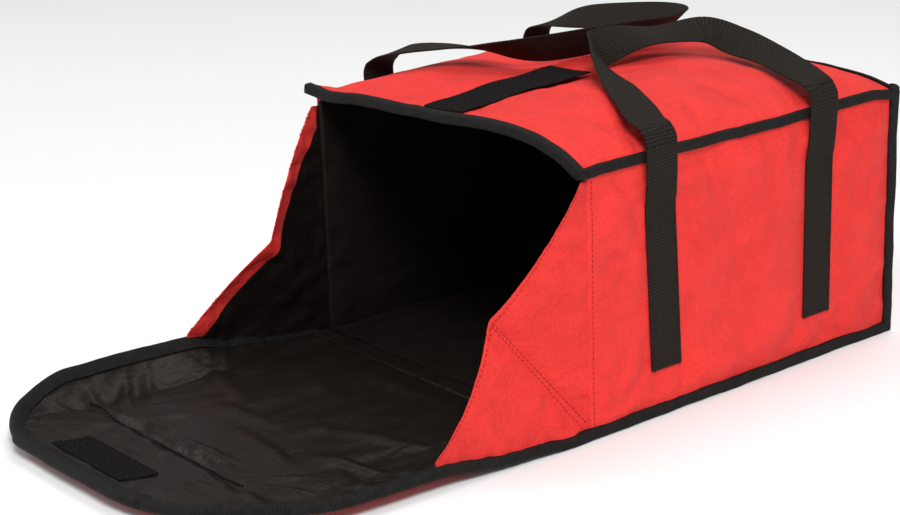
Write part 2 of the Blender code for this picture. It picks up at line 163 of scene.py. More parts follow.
# Sewn groove in the lining at the crease
GROOVE_WIDTH, GROOVE_DEPTH, GROOVE_X, GROOVE_FADE = 3 * MM, 3.4 * MM, (-0.135, 0.085), 0.03

# Relief of the panels. A crease is a line from (a, b) to (a, b), a width and a height
WALL_LUMPS, TOP_LUMPS = 6.5 * MM, 5.5 * MM
WALL_CREASES = (
    (-178, 28, -118, 52, 7, 3.0), (-176, 14, -96, 22, 6, 2.6), (176, 22, 118, 66, 7, 3.2),
    (174, 62, 128, 104, 6, 2.6), (172, 8, 96, 30, 6, 2.4), (-172, 188, -132, 168, 6, 2.4),
    (-160, 214, -126, 176, 7, -2.4), (-60, 216, -40, 172, 8, -2.6), (44, 214, 30, 168, 7, 2.2),
    (112, 214, 140, 172, 7, -2.4), (168, 204, 130, 186, 6, 2.4), (-70, 20, 10, 34, 10, 3.0),
    (-20, 60, 30, 120, 16, 2.5),
)
TOP_CREASES = (
    (-168, -180, -96, -128, 8, 2.6), (168, -182, 122, -120, 7, 2.6), (172, -60, 112, -34, 8, 2.4),
    (172, 20, 104, 12, 8, -2.6), (166, 170, 116, 128, 9, 2.8), (60, 176, 84, 108, 9, -2.4),
    (-60, 178, -80, 110, 9, 2.6), (-172, 0, -110, 20, 8, 2.4), (88, -176, 74, -112, 8, -2.6),
    (120, -150, 150, -90, 9, -2.2), (-30, 172, 10, 120, 8, 2.2),
)
LINING_CREASES = (
    (-128, -440, -60, -428, 5, 2.6), (-40, -434, 40, -431, 5, 2.4), (-110, -456, -20, -459, 5, 2.6),
    (10, -456, 66, -460, 4, 2.0), (-172, -405, -112, -436, 5, 3.0), (-178, -440, -128, -446, 5, 2.8),
    (-170, -474, -118, -452, 5, 2.8), (-150, -502, -104, -462, 5, 2.6),
    (-186, -380, -120, -404, 6, 2.6),
    (-120, -424, -104, -392, 5, 2.0), (-90, -426, -76, -396, 5, 1.8), (72, -444, 118, -420, 4, 2.2),
    (78, -450, 112, -462, 4, 2.0), (66, -438, 96, -404, 4, 1.8), (20, -486, 62, -470, 5, 2.2),
    (24, -504, 66, -488, 5, 2.0), (-130, -512, -108, -490, 5, 2.2), (-100, -478, -30, -474, 5, 1.8),
    (128, -396, 150, -386, 3.5, 1.8), (132, -372, 154, -362, 3.5, 1.8),
    (136, -346, 158, -338, 3.5, 1.6),
    (140, -318, 162, -312, 3.5, 1.6), (146, -290, 166, -286, 3.5, 1.6), (60, -380, 132, -352, 7, 1.6),
    (20, -340, 120, -300, 9, 1.6), (-150, -330, -60, -352, 8, 1.8), (-120, -270, -20, -290, 9, 1.6),
    (-60, -240, 60, -232, 8, 1.6), (-180, -300, -150, -318, 5, 2.0), (-176, -262, -146, -276, 5, 1.8),
    (-20, -390, 70, -402, 7, 1.8), (-80, -372, 0, -362, 8, 1.4),
)

# Size of a gusset's flat piece
GUSSET_DEPTH = 131 * MM
GUSSET_AREA = 0.5 * GUSSET_DEPTH * (207.7 + 149.5) * MM

# Stage: lamps as name, place, watts and width, and the camera that was fitted to the photograph
LAMPS = (
    ("key", (1.9, -1.5, 2.7), 88, 1.3), ("left fill", (-2.8, -1.9, 1.6), 32, 2.4),
    ("top", (-0.3, 1.0, 3.2), 36, 2.0), ("floor bounce", (0.54, 0, 0.05), 0.12, 0.1),
)
LAMPS_AIM, ROOM_LIGHT = (0, -0.1, 0.1), 0.34
CAMERA_EYE, CAMERA_TURNS, CAMERA_LENS = (1.3358, -1.2726, 0.6777), (0.8851, 0.3162, -0.0325), 86.05

# Sheets that the stitches are sewn on, by part
SHEETS = {}


# Values a user may change

def length(name, description, default, low, precision=4):
    """Property of a length in metres."""
    return FloatProperty(name=name, description=description, default=default, min=low,
                         subtype="DISTANCE", unit="LENGTH", precision=precision)


def colour(name, description, default):
    """Property of a colour."""
    return FloatVectorProperty(name=name, description=description, default=default,
                               subtype="COLOR", size=3, min=0, max=1)


class BagSizes(bpy.types.PropertyGroup):
    """Sizes of the bag's soft finish."""
    puff: length("Puff", "How far the padding may swell out of a panel", 5 * MM, 0)
    slack: FloatProperty(name="Slack", description="How much larger than its frame the fabric is cut",
                         default=0.03, min=0, max=0.1, subtype="FACTOR")
    settle_frames: IntProperty(name="Settle frames", description="Steps of the cloth simulation",
                               default=16, min=2, max=60)
    cell: length("Cell", "Mesh spacing of the panels' fabric", 5 * MM, 1 * MM)
    stitch_pitch: length("Stitch pitch", "Distance from stitch to stitch", 4.2 * MM, 1 * MM)
    stitch_length: length("Stitch length", "Length of the thread that shows", 3 * MM, 0.5 * MM)
    thread: length("Thread", "Thickness of the sewing thread", 0.7 * MM, 0.1 * MM, 5)
    fibre: length("Fibre", "Length of the fasteners' hooks and loops", 1.1 * MM, 0.1 * MM, 5)
    fibre_density: FloatProperty(name="Fibre density", description="Hooks or loops on a square metre",
                                 default=700000, min=0)


class BagColours(bpy.types.PropertyGroup):
    """Colours of the bag's fabrics, threads and stage."""
    shell: colour("Shell", "Outer woven fabric", (0.84, 0.040, 0.034))
    lining: colour("Lining", "Satin nylon inside", (0.0098, 0.0078, 0.0066))
    tape: colour("Tape", "Edge binding", (0.0062, 0.0058, 0.0054))
    webbing: colour("Webbing", "Handle webbing", (0.0075, 0.0062, 0.0052))
    fastener: colour("Fastener", "Hook pad and loop strip", (0.008, 0.007, 0.0066))
    shell_thread: colour("Shell thread", "Thread on the outer fabric", (0.36, 0.018, 0.016))
    floor: colour("Floor", "Floor under the bag", (0.93, 0.93, 0.93))


# The bag's surfaces

def mix(a, b, t):
    """Value between a (t = 0) and b (t = 1)."""
    return a + (b - a) * t


def smooth(t):
    """Smooth step from 0 to 1."""
    t = min(max(t, 0), 1)
    return t * t * (3 - 2 * t)


def corner_rise(x, y):
    """Extra height at the top's corners: pinched up at the front left, worn down at the rear."""
    total = 0
    for side, end, rise, reach in CORNER_RISES:
        away = math.hypot(x - side * HALF_WIDTH, y - (TOP_FRONT if end < 0 else REAR))
        total += rise * MM * max(1 - away / (reach * MM), 0) ** 1.5
    return total


def top_height(x, y):
    """Height of the arched top panel's outer face, flatter at its front left and rear right."""
    back = (y - TOP_FRONT) / (REAR - TOP_FRONT)
    across = 1 - min(abs(x) / HALF_WIDTH, 1) ** mix(FRONT_ARCH_POWER, REAR_ARCH_POWER, back)
    drop = 1 - LEFT_ARCH_DROP * (1 - back) * smooth(0.6 - 0.9 * x / HALF_WIDTH)
    drop -= REAR_ARCH_DROP * back**2 * smooth(0.6 + 0.9 * x / HALF_WIDTH)
    arch = (mix(FRONT_ARCH, REAR_ARCH, back) + CROWN * 4 * back * (1 - back)) * drop
    return HEIGHT + across * arch + corner_rise(x, y)


def flap_centre(y):
    """Sideways place of the flap's middle line, which leans a little."""
    return math.tan(FLAP_LEAN) * (y - HINGE_Y)


def flap_edge(sign, y):
    """Sideways place of the flap's left (-1) or right (1) edge, with the tongue's round corner."""
    corner = LEFT_CORNER if sign < 0 else RIGHT_CORNER
    into_corner = max(TIP_Y + corner - y, 0)
    drawn_in = corner - math.sqrt(max(corner**2 - into_corner**2, 0))
    return flap_centre(y) + sign * (FLAP_HALF_WIDTH - drawn_in)


def table(rows, at):
    """Value between the rows of a table in millimetres."""
    at /= MM
    for (a, low), (b, high) in zip(rows, rows[1:]):
        if at < b:
            return mix(low, high, smooth((at - a) / (b - a))) * MM
    return rows[-1][1] * MM


def flap_rise(x, y):
    """How far the flap's underside stands off the ground: its rim curls up all round."""
    reach = HINGE_Y - y
    left = x < flap_centre(y)
    to_side = x - flap_edge(-1, y) if left else flap_edge(1, y) - x
    rows, width = (LEFT_RIM, LEFT_RIM_REACH) if left else (RIGHT_RIM, RIGHT_RIM_REACH)
    side = table(rows, reach) * max(1 - to_side / width, 0) ** 2
    tip = TIP_RIM_LIFT * max(1 - (y - TIP_Y) / TIP_RIM_REACH, 0) ** 2
    return max(side, tip)


def flap_point(x, y, depth):
    """Place in the flap's thickness: depth up from its underside, square to it."""
    step = 0.5 * MM
    slope_x = (flap_rise(x + step, y) - flap_rise(x - step, y)) / (2 * step)
    slope_y = (flap_rise(x, y + step) - flap_rise(x, y - step)) / (2 * step)
    return Vector((x, y, flap_rise(x, y))) + Vector((-slope_x, -slope_y, 1)).normalized() * depth


def flap_place(u, v, inset=0):
    """Place on the flap from the hinge (v = 0) to the tongue's tip (v = 1), drawn in at the edges."""
    if v < CREASE_SHARE:
        y = mix(HINGE_Y, CREASE_Y, v / CREASE_SHARE)
    else:
        beyond = (v - CREASE_SHARE) / (1 - CREASE_SHARE)
        y = mix(CREASE_Y, TIP_Y + inset, math.sin(beyond * math.pi / 2))
    return mix(flap_edge(-1, y) + inset, flap_edge(1, y) - inset, u), y


def gusset_point(sign, u, v):
    """Bellows between a wall and the flap.

    u runs down the wall's seam and then along the flap, and v out to the free edge.
    """
    seam_x, seam_y = HALF_WIDTH - 1.2 * MM, FRONT + 2 * MM
    top, corner = Vector((seam_x, seam_y, GUSSET_TOP)), Vector((seam_x, seam_y, PANEL - 2 * MM))
    fold = Vector((HALF_WIDTH - FOLD_INSET, FRONT - FOLD_REACH, FOLD_HEIGHT))
    tip_y = HINGE_Y - GUSSET_TIP_REACH
    tip = flap_point(flap_centre(tip_y) + sign * (FLAP_HALF_WIDTH - MM), tip_y, PANEL)
    tip.x *= sign
    end = Vector((1.2 * MM, -GUSSET_END_WIDTH - 2 * MM, 0))
    rise = Vector((0, 0, GUSSET_END_WIDTH))
    part = u * 2
    if part < 1:
        fixed, free = top.lerp(corner, part), (top + end).lerp(fold, part)
        sag = GUSSET_SAG[sign][0] * 4 * part * (1 - part)
    else:
        part -= 1
        fixed, free = corner.lerp(tip, part), fold.lerp(tip + rise, part)
        sag = GUSSET_SAG[sign][1] * 4 * part * (1 - part)
        y = min(fixed.y, HINGE_Y)
        held = flap_point(flap_centre(y) + sign * (FLAP_HALF_WIDTH - MM), y, PANEL - 1.5 * MM)
        fixed = Vector((mix(seam_x, sign * held.x, smooth(part * 6)), fixed.y, held.z))
    free += (fixed - free).normalized() * sag
    point = fixed.lerp(free, v)
    return Vector((sign * point.x, point.y, point.z))


# Meshes

def link(name, mesh):
    """New object of the scene."""
    ob = bpy.data.objects.new(name, mesh)
    bpy.context.scene.collection.objects.link(ob)
    return ob


def plain(ob):
    """Turns an object with modifiers into a plain mesh object of the same name."""
    graph = bpy.context.evaluated_depsgraph_get()
    mesh = bpy.data.meshes.new_from_object(ob.evaluated_get(graph))
    name = ob.name
    bpy.data.objects.remove(ob, do_unlink=True)
    mesh.name = name
    return link(name, mesh)


class Sheet:
    """A rectangle of cloth laid over surface(u, v): its mesh, and places on it by u and v."""

    def __init__(self, name, surface, size, outward, cell, hold=None, caps=(1, 1)):
        self.across = max(round(size[0] / cell), 2)
        self.along = max(round(size[1] / cell), 2)
        self.caps, self.size = caps, size
        bm = bmesh.new()
        flat = bm.loops.layers.uv.new("cloth")
        spots = [(i / self.across, j / self.along) for j in range(self.along + 1)
                 for i in range(self.across + 1)]
        verts = [bm.verts.new(surface(u, v)) for u, v in spots]
        bm.verts.index_update()
        row = self.across + 1
        for j in range(self.along):
            for i in range(self.across):
                n = j * row + i
                face = bm.faces.new((verts[n], verts[n + 1], verts[n + row + 1], verts[n + row]))
                for loop in face.loops:
                    u, v = spots[loop.vert.index]
                    loop[flat].uv = (u * size[0], v * size[1])
        bm.normal_update()
        middle = bm.faces[:][len(bm.faces) // 2 + self.across // 2]
        if middle.normal.dot(Vector(outward)) < 0:
            bmesh.ops.reverse_faces(bm, faces=bm.faces[:])
        mesh = bpy.data.meshes.new(name)
        bm.to_mesh(mesh)
        bm.free()
        mesh.shade_smooth()
        self.ob = link(name, mesh)
        if hold:
            group = self.ob.vertex_groups.new(name="held")
            for index, (u, v) in enumerate(spots):
                group.add([index], hold(u, v), "REPLACE")
        self.keep()

    def keep(self):
        """Remembers where the cloth's points and their normals are now."""
        mesh = self.ob.data
        self.points = [v.co.copy() for v in mesh.vertices]
        self.normals = [v.normal.copy() for v in mesh.vertices]

    def at(self, u, v, lift=0.0):
        """Place on the cloth, lifted off it."""
        x = min(max(u, 0), 1) * self.across
        y = min(max(v, 0), 1) * self.along
        i, j = min(int(x), self.across - 1), min(int(y), self.along - 1)
        row, x, y = self.across + 1, x - i, y - j
        n = j * row + i
        found = []
        for kept in (self.points, self.normals):
            low, high = kept[n].lerp(kept[n + 1], x), kept[n + row].lerp(kept[n + row + 1], x)
            found.append(low.lerp(high, y))
        return found[0] + found[1].normalized() * lift

    def row(self, first, last, lift=0.0, steps=40):
        """Line of places on the cloth from one (u, v) to another."""
        return [self.at(mix(first[0], last[0], n / steps), mix(first[1], last[1], n / steps), lift)
                for n in range(steps + 1)]


def settle(sheets):
    """Lets slack fabric swell and wrinkle between its seams, and keeps it in reach of its frame."""
    scene, sizes = bpy.context.scene, bpy.context.scene.bag_sizes
    for sheet in sheets:
        for v, normal in zip(sheet.ob.data.vertices, sheet.normals):
            v.co += normal * (noise.noise(v.co * 60) * 0.6 * MM)
        cloth = sheet.ob.modifiers.new("settle", "CLOTH")
        cloth.point_cache.frame_start, cloth.point_cache.frame_end = 1, sizes.settle_frames
        values = cloth.settings
        values.quality = 4
        values.tension_stiffness = values.compression_stiffness = 30
        values.shear_stiffness, values.bending_stiffness = 8, 0.05
        values.vertex_group_mass, values.pin_stiffness = "held", 1
        values.shrink_min = -sizes.slack
        values.use_pressure, values.uniform_pressure_force = True, 6
        values.effector_weights.gravity = 0
        cloth.collision_settings.use_collision = False
        cloth.collision_settings.use_self_collision = False
    for step in range(1, sizes.settle_frames + 1):
        scene.frame_set(step)
    graph = bpy.context.evaluated_depsgraph_get()
    for sheet in sheets:
        settled = [v.co.copy() for v in sheet.ob.evaluated_get(graph).data.vertices]
        sheet.ob.modifiers.remove(sheet.ob.modifiers["settle"])
        low, high = (cap * sizes.puff for cap in sheet.caps)
        for v, place, normal, now in zip(sheet.ob.data.vertices, sheet.points, sheet.normals, settled):
            out = (now - place).dot(normal)
            cap = high if out > 0 else low
            v.co = place + normal * (cap * math.tanh(out / cap) if cap else 0)
        sheet.ob.data.update()
        sheet.keep()
    scene.frame_set(1)


def pad(sheet, thickness, levels=1):
    """Gives a sheet its thickness, away from the side that shows, with rounded edges."""
    ob = sheet.ob
    solid = ob.modifiers.new("thickness", "SOLIDIFY")
    solid.thickness, solid.offset = thickness, -1
    if levels:
        finer = ob.modifiers.new("finer", "SUBSURF")
        finer.levels = finer.render_levels = levels
    ob.vertex_groups.clear()
    made = plain(ob)
    made.data.shade_smooth()
    return made


def sweep(name, path, profile, wobble=0, square_ends=None, tuck=0):
    """Closed bar along a path of (point, width direction), with UVs in metres round and along it.

    The bar wavers by wobble, and tapers over the length tuck beyond each end.
    """
    bm = bmesh.new()
    flat = bm.loops.layers.uv.new("cloth")
    rings, alongs, along = [], [], 0.0

    def ring(point, across, normal, scale, at):
        rings.append([bm.verts.new(point + (across * a + normal * b) * scale) for a, b in profile])
        alongs.append(at)
    last = len(path) - 1
    for n, (point, across) in enumerate(path):
        before, after = path[max(n - 1, 0)][0], path[min(n + 1, last)][0]
        tangent = (Vector(after) - Vector(before)).normalized()
        if square_ends and n in (0, last):
            tangent = Vector(square_ends) * math.copysign(1, tangent.dot(Vector(square_ends)))
        across = Vector(across)
        across = (across - across.dot(tangent) * tangent).normalized()
        normal = across.cross(tangent)
        point = Vector(point)
        if n:
            along += (point - Vector(path[n - 1][0])).length
        if wobble:
            slow, quick = noise.noise_vector(point * 14) * 1.3, noise.noise_vector(point * 90) / 2
            point = point + (slow + noise.noise_vector(point * 30) + quick) * wobble
        if tuck and n == 0:
            ring(point - tangent * tuck, across, normal, END_TAPER, along - tuck)
        ring(point, across, normal, 1, along)
        if tuck and n == last:
            ring(point + tangent * tuck, across, normal, END_TAPER, along + tuck)
    count = len(profile)
    arcs = [0]
    for k in range(count):
        (a0, b0), (a1, b1) = profile[k], profile[(k + 1) % count]
        arcs.append(arcs[-1] + math.hypot(a1 - a0, b1 - b0))
    for n in range(len(rings) - 1):
        for k in range(count):
            m = (k + 1) % count
            face = bm.faces.new((rings[n][k], rings[n][m], rings[n + 1][m], rings[n + 1][k]))
            corners = ((k, n), (k + 1, n), (k + 1, n + 1), (k, n + 1))
            for loop, (i, j) in zip(face.loops, corners):
                loop[flat].uv = (arcs[i], alongs[j])
    bm.faces.new(rings[0])
    bm.faces.new(rings[-1])
    bmesh.ops.recalc_face_normals(bm, faces=bm.faces[:])
    mesh = bpy.data.meshes.new(name)
    bm.to_mesh(mesh)
    bm.free()
    mesh.shade_smooth()
    mesh.set_sharp_from_angle(angle=math.radians(50))
    return link(name, mesh)


def round_bar(half_width, half_height, steps=5):
    """Outline of a soft bar: flat sides with round ends."""
    points = []
    for side in (1, -1):
        for k in range(steps + 1):
            angle = math.pi * (k / steps) - math.pi / 2
            points.append((side * (half_width - half_height + half_height * math.cos(angle)),
                           side * half_height * math.sin(angle)))
    return points


def smooth_path(knots, steps):
    """Points along a Catmull-Rom curve through the knots."""
    points = []
    for n in range(len(knots) - 1):
        k0, k1 = knots[max(n - 1, 0)], knots[n]
        k2, k3 = knots[n + 1], knots[min(n + 2, len(knots) - 1)]
        for s in range(steps + (n == len(knots) - 2)):
            t = s / steps
            points.append(tuple(
                (2 * b + (c - a) * t + (2 * a - 5 * b + 4 * c - d) * t**2
                 + (3 * b - a - 3 * c + d) * t**3) / 2
                for a, b, c, d in zip(k0, k1, k2, k3)))
    return points


# Shader maths

def plug(tree, value, slot):
    """Links a shader socket's value to a slot, or writes a plain value there."""
    if isinstance(value, Value):
        tree.links.new(value.socket, slot)
    else:
        slot.default_value = value


class Value:
    """A shader socket that takes part in Python sums, which add their Math nodes."""

    def __init__(self, tree, socket):
        self.tree, self.socket = tree, socket

    def math(self, operation, first, second=None):
        node = self.tree.nodes.new("ShaderNodeMath")
        node.operation = operation
        for slot, value in zip(node.inputs, (first, second)):
            if value is not None:
                plug(self.tree, value, slot)
        return Value(self.tree, node.outputs[0])

    def __add__(self, other):
        return self.math("ADD", self, other)

    def __sub__(self, other):
        return self.math("SUBTRACT", self, other)

    def __rsub__(self, other):
        return self.math("SUBTRACT", other, self)

    def __mul__(self, other):
        return self.math("MULTIPLY", self, other)

    def __pow__(self, other):
        return self.math("POWER", self, other)

    def sine(self):
        return self.math("SINE", self)

    def size(self):
        return self.math("ABSOLUTE", self)

    __radd__, __rmul__ = __add__, __mul__


class Finish:
    """A material under construction: its Principled shader and a method that adds any node."""

    def __init__(self, name, colour):
        self.material = bpy.data.materials.new(name)
        self.material.use_nodes = True
        self.material.diffuse_color = (*colour, 1)
        self.tree = self.material.node_tree
        self.shader = self.tree.nodes["Principled BSDF"]
        self.shader.inputs["Base Color"].default_value = (*colour, 1)

    def node(self, kind, settings=None, output=0, **inputs):
        """Adds a node, sets its settings first and then its sockets, and gives one of its outputs."""
        node = self.tree.nodes.new(kind)
        for key, value in (settings or {}).items():
            setattr(node, key, value)
        for key, value in inputs.items():
            slots = [s for s in node.inputs if s.enabled and s.name.replace(" ", "_") == key]
            plug(self.tree, value, slots[0] if slots else node.inputs[int(key.strip("_"))])
        return Value(self.tree, node.outputs[output])

    def flat(self):
        """The piece's own cloth coordinates, in metres: across and along."""
        uv = self.node("ShaderNodeUVMap", {"uv_map": "cloth"})
        parts = self.node("ShaderNodeSeparateXYZ", Vector=uv)
        node = parts.socket.node
        return Value(self.tree, node.outputs[0]), Value(self.tree, node.outputs[1])

    def speckle(self, vector, scale, detail=2.0, roughness=0.55):
        """Noise over the surface."""
        return self.node("ShaderNodeTexNoise", None, 0, Vector=vector, Scale=scale, Detail=detail,
                         Roughness=roughness)

    def place(self):
        """Object coordinates."""
        return self.node("ShaderNodeTexCoord", None, 3)

    def tone(self, factor, dark, light):
        """Colour between two, by a factor."""
        return self.node("ShaderNodeMix", {"data_type": "RGBA"}, 2, Factor=factor,
                         _6=(*dark, 1), _7=(*light, 1))

    def bump(self, height, strength, distance, under=None):
        """Normal of a relief, on top of another one."""
        more = {"Normal": under} if under else {}
        return self.node("ShaderNodeBump", None, 0, Height=height, Strength=strength,
                         Distance=distance, **more)

    def set(self, **inputs):
        """Sets or links the shader's sockets and gives the material."""
        for key, value in inputs.items():
            plug(self.tree, value, self.shader.inputs[key.replace("_", " ")])
        return self.material


def shade(colour, amount):
    """Colour made darker or lighter."""
    return tuple(min(c * amount, 1) for c in colour)


def woven_fabric(name, colour):
    """Plain-woven polyester: fine over-and-under weave and slubs, with painted shade in large soft
    patches that follow its bumped relief.
    """
    finish = Finish(name, colour)
    place = finish.place()
    across, along = finish.flat()
    thread = 2 * math.pi / (1.5 * MM)
    weave = (across * thread).sine() * (along * thread).sine()
    slub = finish.speckle(place, 520, 3, 0.7)
    relief_and_painted_shade = finish.speckle(place, 14, 3)
    soft = finish.speckle(place, 38, 4, 0.6)
    # The two large noises that also raise the bumped relief lighten its high patches and darken its
    # hollows here: painted shade. Slubs and weave are the cloth's own tone
    factor = relief_and_painted_shade * 0.6 + soft * 0.5 + slub * 1.1 + weave * 0.2 - 0.62
    base = finish.tone(factor, shade(colour, 0.66), shade(colour, 1.26))
    crease = finish.bump(soft + relief_and_painted_shade * 2, 1.0, 4.5 * MM)
    normal = finish.bump(weave * 0.5 + slub * 1.5, 0.55, 0.35 * MM, crease)
    return finish.set(Base_Color=base, Roughness=slub * 0.2 + 0.50, Sheen_Weight=0.03,
                      Sheen_Roughness=0.4, Normal=normal, Specular_IOR_Level=0.16)


def satin_lining(name, colour):
    """Thin coated nylon: soft sheen with many small crushed creases."""
    finish = Finish(name, colour)
    place = finish.place()
    across, along = finish.flat()
    stretched = finish.node("ShaderNodeMapping", None, 0, Vector=place, Scale=(1, 0.45, 1))
    crush = finish.speckle(stretched, 60, 6, 0.62)
    ridge = 1 - ((crush - 0.5) * 4).size()
    folds = finish.speckle(stretched, 22, 3, 0.5)
    fine = finish.speckle(place, 420, 3)
    weave = (across * (2 * math.pi / MM)).sine() * (along * (2 * math.pi / MM)).sine()
    base = finish.tone(crush * 0.6 + fine * 0.4, shade(colour, 0.5), shade(colour, 1.5))
    creased = finish.bump(ridge * 0.5 + folds * 3, 0.5, 2.6 * MM)
    normal = finish.bump(fine + weave * 0.2, 0.3, 0.2 * MM, creased)
    return finish.set(Base_Color=base, Roughness=crush * 0.25 + 0.28, Normal=normal,
                      Specular_IOR_Level=0.2, Specular_Tint=(1, 0.86, 0.74, 1))


def binding_tape(name, colour):
    """Grosgrain tape: fine cross ribs."""
    finish = Finish(name, colour)
    place = finish.place()
    across, along = finish.flat()
    ribs = (along * (2 * math.pi / (1.9 * MM))).sine()
    dust = finish.speckle(place, 160, 4)
    base = finish.tone(dust * 1.1 + ribs * 0.25 - 0.2, shade(colour, 0.4), shade(colour, 3.6))
    normal = finish.bump(ribs * 0.6 + dust, 0.7, 0.5 * MM)
    return finish.set(Base_Color=base, Roughness=dust * 0.2 + 0.55, Normal=normal,
                      Specular_IOR_Level=0.15)


def webbing(name, colour):
    """Polypropylene webbing: chevron weave in lengthwise ribs."""
    finish = Finish(name, colour)
    place = finish.place()
    across, along = finish.flat()
    rib = 2 * math.pi / (5.6 * MM)
    chevron = (across * rib).sine().size() * 2.2
    weave = (along * (2 * math.pi / (2.8 * MM)) + chevron * 2).sine()
    ribs = (across * rib).sine().size() ** 0.5
    dust = finish.speckle(place, 230, 3)
    base = finish.tone(weave * 0.9 + dust * 0.9 + ribs * 0.2 - 0.35, shade(colour, 0.3),
                       shade(colour, 5.6))
    normal = finish.bump(weave * 0.6 + ribs, 0.8, 0.6 * MM)
    return finish.set(Base_Color=base, Roughness=dust * 0.2 + 0.5, Normal=normal,
                      Specular_IOR_Level=0.1, Specular_Tint=(1, 0.85, 0.7, 1))


def fastener(name, colour):
    """Backing of a hook or loop fastener, dull and fuzzy."""
    finish = Finish(name, colour)
    fuzz = finish.speckle(finish.place(), 700, 4)
    base = finish.tone(fuzz, shade(colour, 0.5), shade(colour, 2.2))
    return finish.set(Base_Color=base, Roughness=0.9, Specular_IOR_Level=0.1,
                      Normal=finish.bump(fuzz, 0.8, 0.6 * MM))


def sewing_thread(name, colour):
    """Twisted thread."""
    finish = Finish(name, colour)
    twist = finish.speckle(finish.place(), 1500, 1)
    return finish.set(Base_Color=finish.tone(twist, shade(colour, 0.7), shade(colour, 1.3)),
                      Roughness=0.7, Specular_IOR_Level=0.1)


def dress(ob, material, body=None):
    """Gives a piece its only material, and its body."""
    ob.data.materials.clear()
    ob.data.materials.append(bpy.data.materials[material])
    if body:
        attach(ob, body)
    return ob


def across_crease(ob):
    """Bakes the placing of a piece of the flap and the tongue into its mesh."""
    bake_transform(ob)


def fold_with_flap(ob):
    """Gives a piece of a gusset a mesh of its own."""
    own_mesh(ob)


# Geometry Nodes

def new_tree(name, sizes):
    """Geometry tree with a geometry input, named sizes and a material, and its group nodes."""
    tree = bpy.data.node_groups.new(name, "GeometryNodeTree")
    tree.interface.new_socket(name="Geometry", in_out="INPUT", socket_type="NodeSocketGeometry")
    for key in sizes:
        tree.interface.new_socket(name=key, in_out="INPUT", socket_type="NodeSocketFloat")
    tree.interface.new_socket(name="Material", in_out="INPUT", socket_type="NodeSocketMaterial")
    tree.interface.new_socket(name="Geometry", in_out="OUTPUT", socket_type="NodeSocketGeometry")
    return tree, tree.nodes.new("NodeGroupInput"), tree.nodes.new("NodeGroupOutput")


def connect(tree, *links):
    """Joins sockets by their names: node, output, node, input."""
    for source, output, target, slot in links:
        tree.links.new(source.outputs[output], target.inputs[slot])


def place_instances(tree, given, result, smooth_faces):
    """Nodes that put a sized instance on each point, as plain geometry with the given material."""
    size, place, real, coat = map(tree.nodes.new, (
        "ShaderNodeCombineXYZ", "GeometryNodeInstanceOnPoints", "GeometryNodeRealizeInstances",
        "GeometryNodeSetMaterial"))
    last = real
    if smooth_faces:
        last = tree.nodes.new("GeometryNodeSetShadeSmooth")
        connect(tree, (real, "Geometry", last, "Geometry"))
    connect(tree, (given, "Thickness", size, "X"), (given, "Thickness", size, "Y"),
            (given, "Length", size, "Z"), (size, "Vector", place, "Scale"),
            (place, "Instances", real, "Geometry"), (last, "Geometry", coat, "Geometry"),
            (given, "Material", coat, "Material"), (coat, "Geometry", result, "Geometry"))
    return place


def stitch_tree():
    """Thread stitches at an even pitch along every line of the mesh."""
    tree, given, result = new_tree("stitch row", ("Pitch", "Length", "Thickness"))
    curve, spaced, bead, tangent, turn = map(tree.nodes.new, (
        "GeometryNodeMeshToCurve", "GeometryNodeResampleCurve", "GeometryNodeMeshUVSphere",
        "GeometryNodeInputTangent", "FunctionNodeAlignRotationToVector"))
    spaced.mode, turn.axis = "LENGTH", "Z"
    bead.inputs["Segments"].default_value, bead.inputs["Rings"].default_value = 6, 4
    bead.inputs["Radius"].default_value = 0.5
    place = place_instances(tree, given, result, True)
    connect(tree, (given, "Geometry", curve, "Mesh"), (curve, "Curve", spaced, "Curve"),
            (given, "Pitch", spaced, "Length"), (spaced, "Curve", place, "Points"),
            (bead, "Mesh", place, "Instance"), (tangent, "Tangent", turn, "Vector"),
            (turn, "Rotation", place, "Rotation"))
    return tree


def fibre_tree():
    """Short tapering fibres strewn over the faces, with a fixed seed."""
    tree, given, result = new_tree("fibres", ("Density", "Length", "Thickness"))
    strew, hook, lean, turn = map(tree.nodes.new, (
        "GeometryNodeDistributePointsOnFaces", "GeometryNodeMeshCone", "FunctionNodeRandomValue",
        "FunctionNodeEulerToRotation"))
    strew.inputs["Seed"].default_value = 3
    for key, value in (("Vertices", 3), ("Radius Top", 0.3), ("Radius Bottom", 0.5), ("Depth", 1.0)):
        hook.inputs[key].default_value = value
    lean.data_type = "FLOAT_VECTOR"
    for key, value in (("Min", (-0.7, -0.7, 0)), ("Max", (0.7, 0.7, 3)), ("Seed", 5)):
        lean.inputs[key].default_value = value
    place = place_instances(tree, given, result, False)
    connect(tree, (given, "Geometry", strew, "Mesh"), (given, "Density", strew, "Density"),
            (strew, "Points", place, "Points"), (hook, "Mesh", place, "Instance"),
            (lean, "Value", turn, "Euler"), (turn, "Rotation", place, "Rotation"))
    return tree


def grow(ob, tree, **values):
    """Runs a geometry tree on an object and leaves the plain mesh that it makes."""
    tree = bpy.data.node_groups.get(tree) or {"stitch row": stitch_tree, "fibres": fibre_tree}[tree]()
    modifier = ob.modifiers.new("grow", "NODES")
    modifier.node_group = tree
    for item in tree.interface.items_tree:
        if item.in_out == "INPUT" and item.name in values:
            modifier[item.identifier] = values[item.name]
    return plain(ob)


def sew(name, rows, material, body=None, weight=1.0):
    """Stitches along rows of points on a body, in a lighter or heavier thread."""
    sizes = bpy.context.scene.bag_sizes
    mesh = bpy.data.meshes.new(name)
    points, edges = [], []
    for row in rows:
        first = len(points)
        points += [tuple(p) for p in row]
        edges += [(first + n, first + n + 1) for n in range(len(row) - 1)]
    mesh.from_pydata(points, edges, [])
    piece = grow(link(name, mesh), "stitch row", Pitch=sizes.stitch_pitch,
                 Length=sizes.stitch_length, Thickness=sizes.thread * weight,
                 Material=bpy.data.materials[material])
    return dress(piece, material, body)


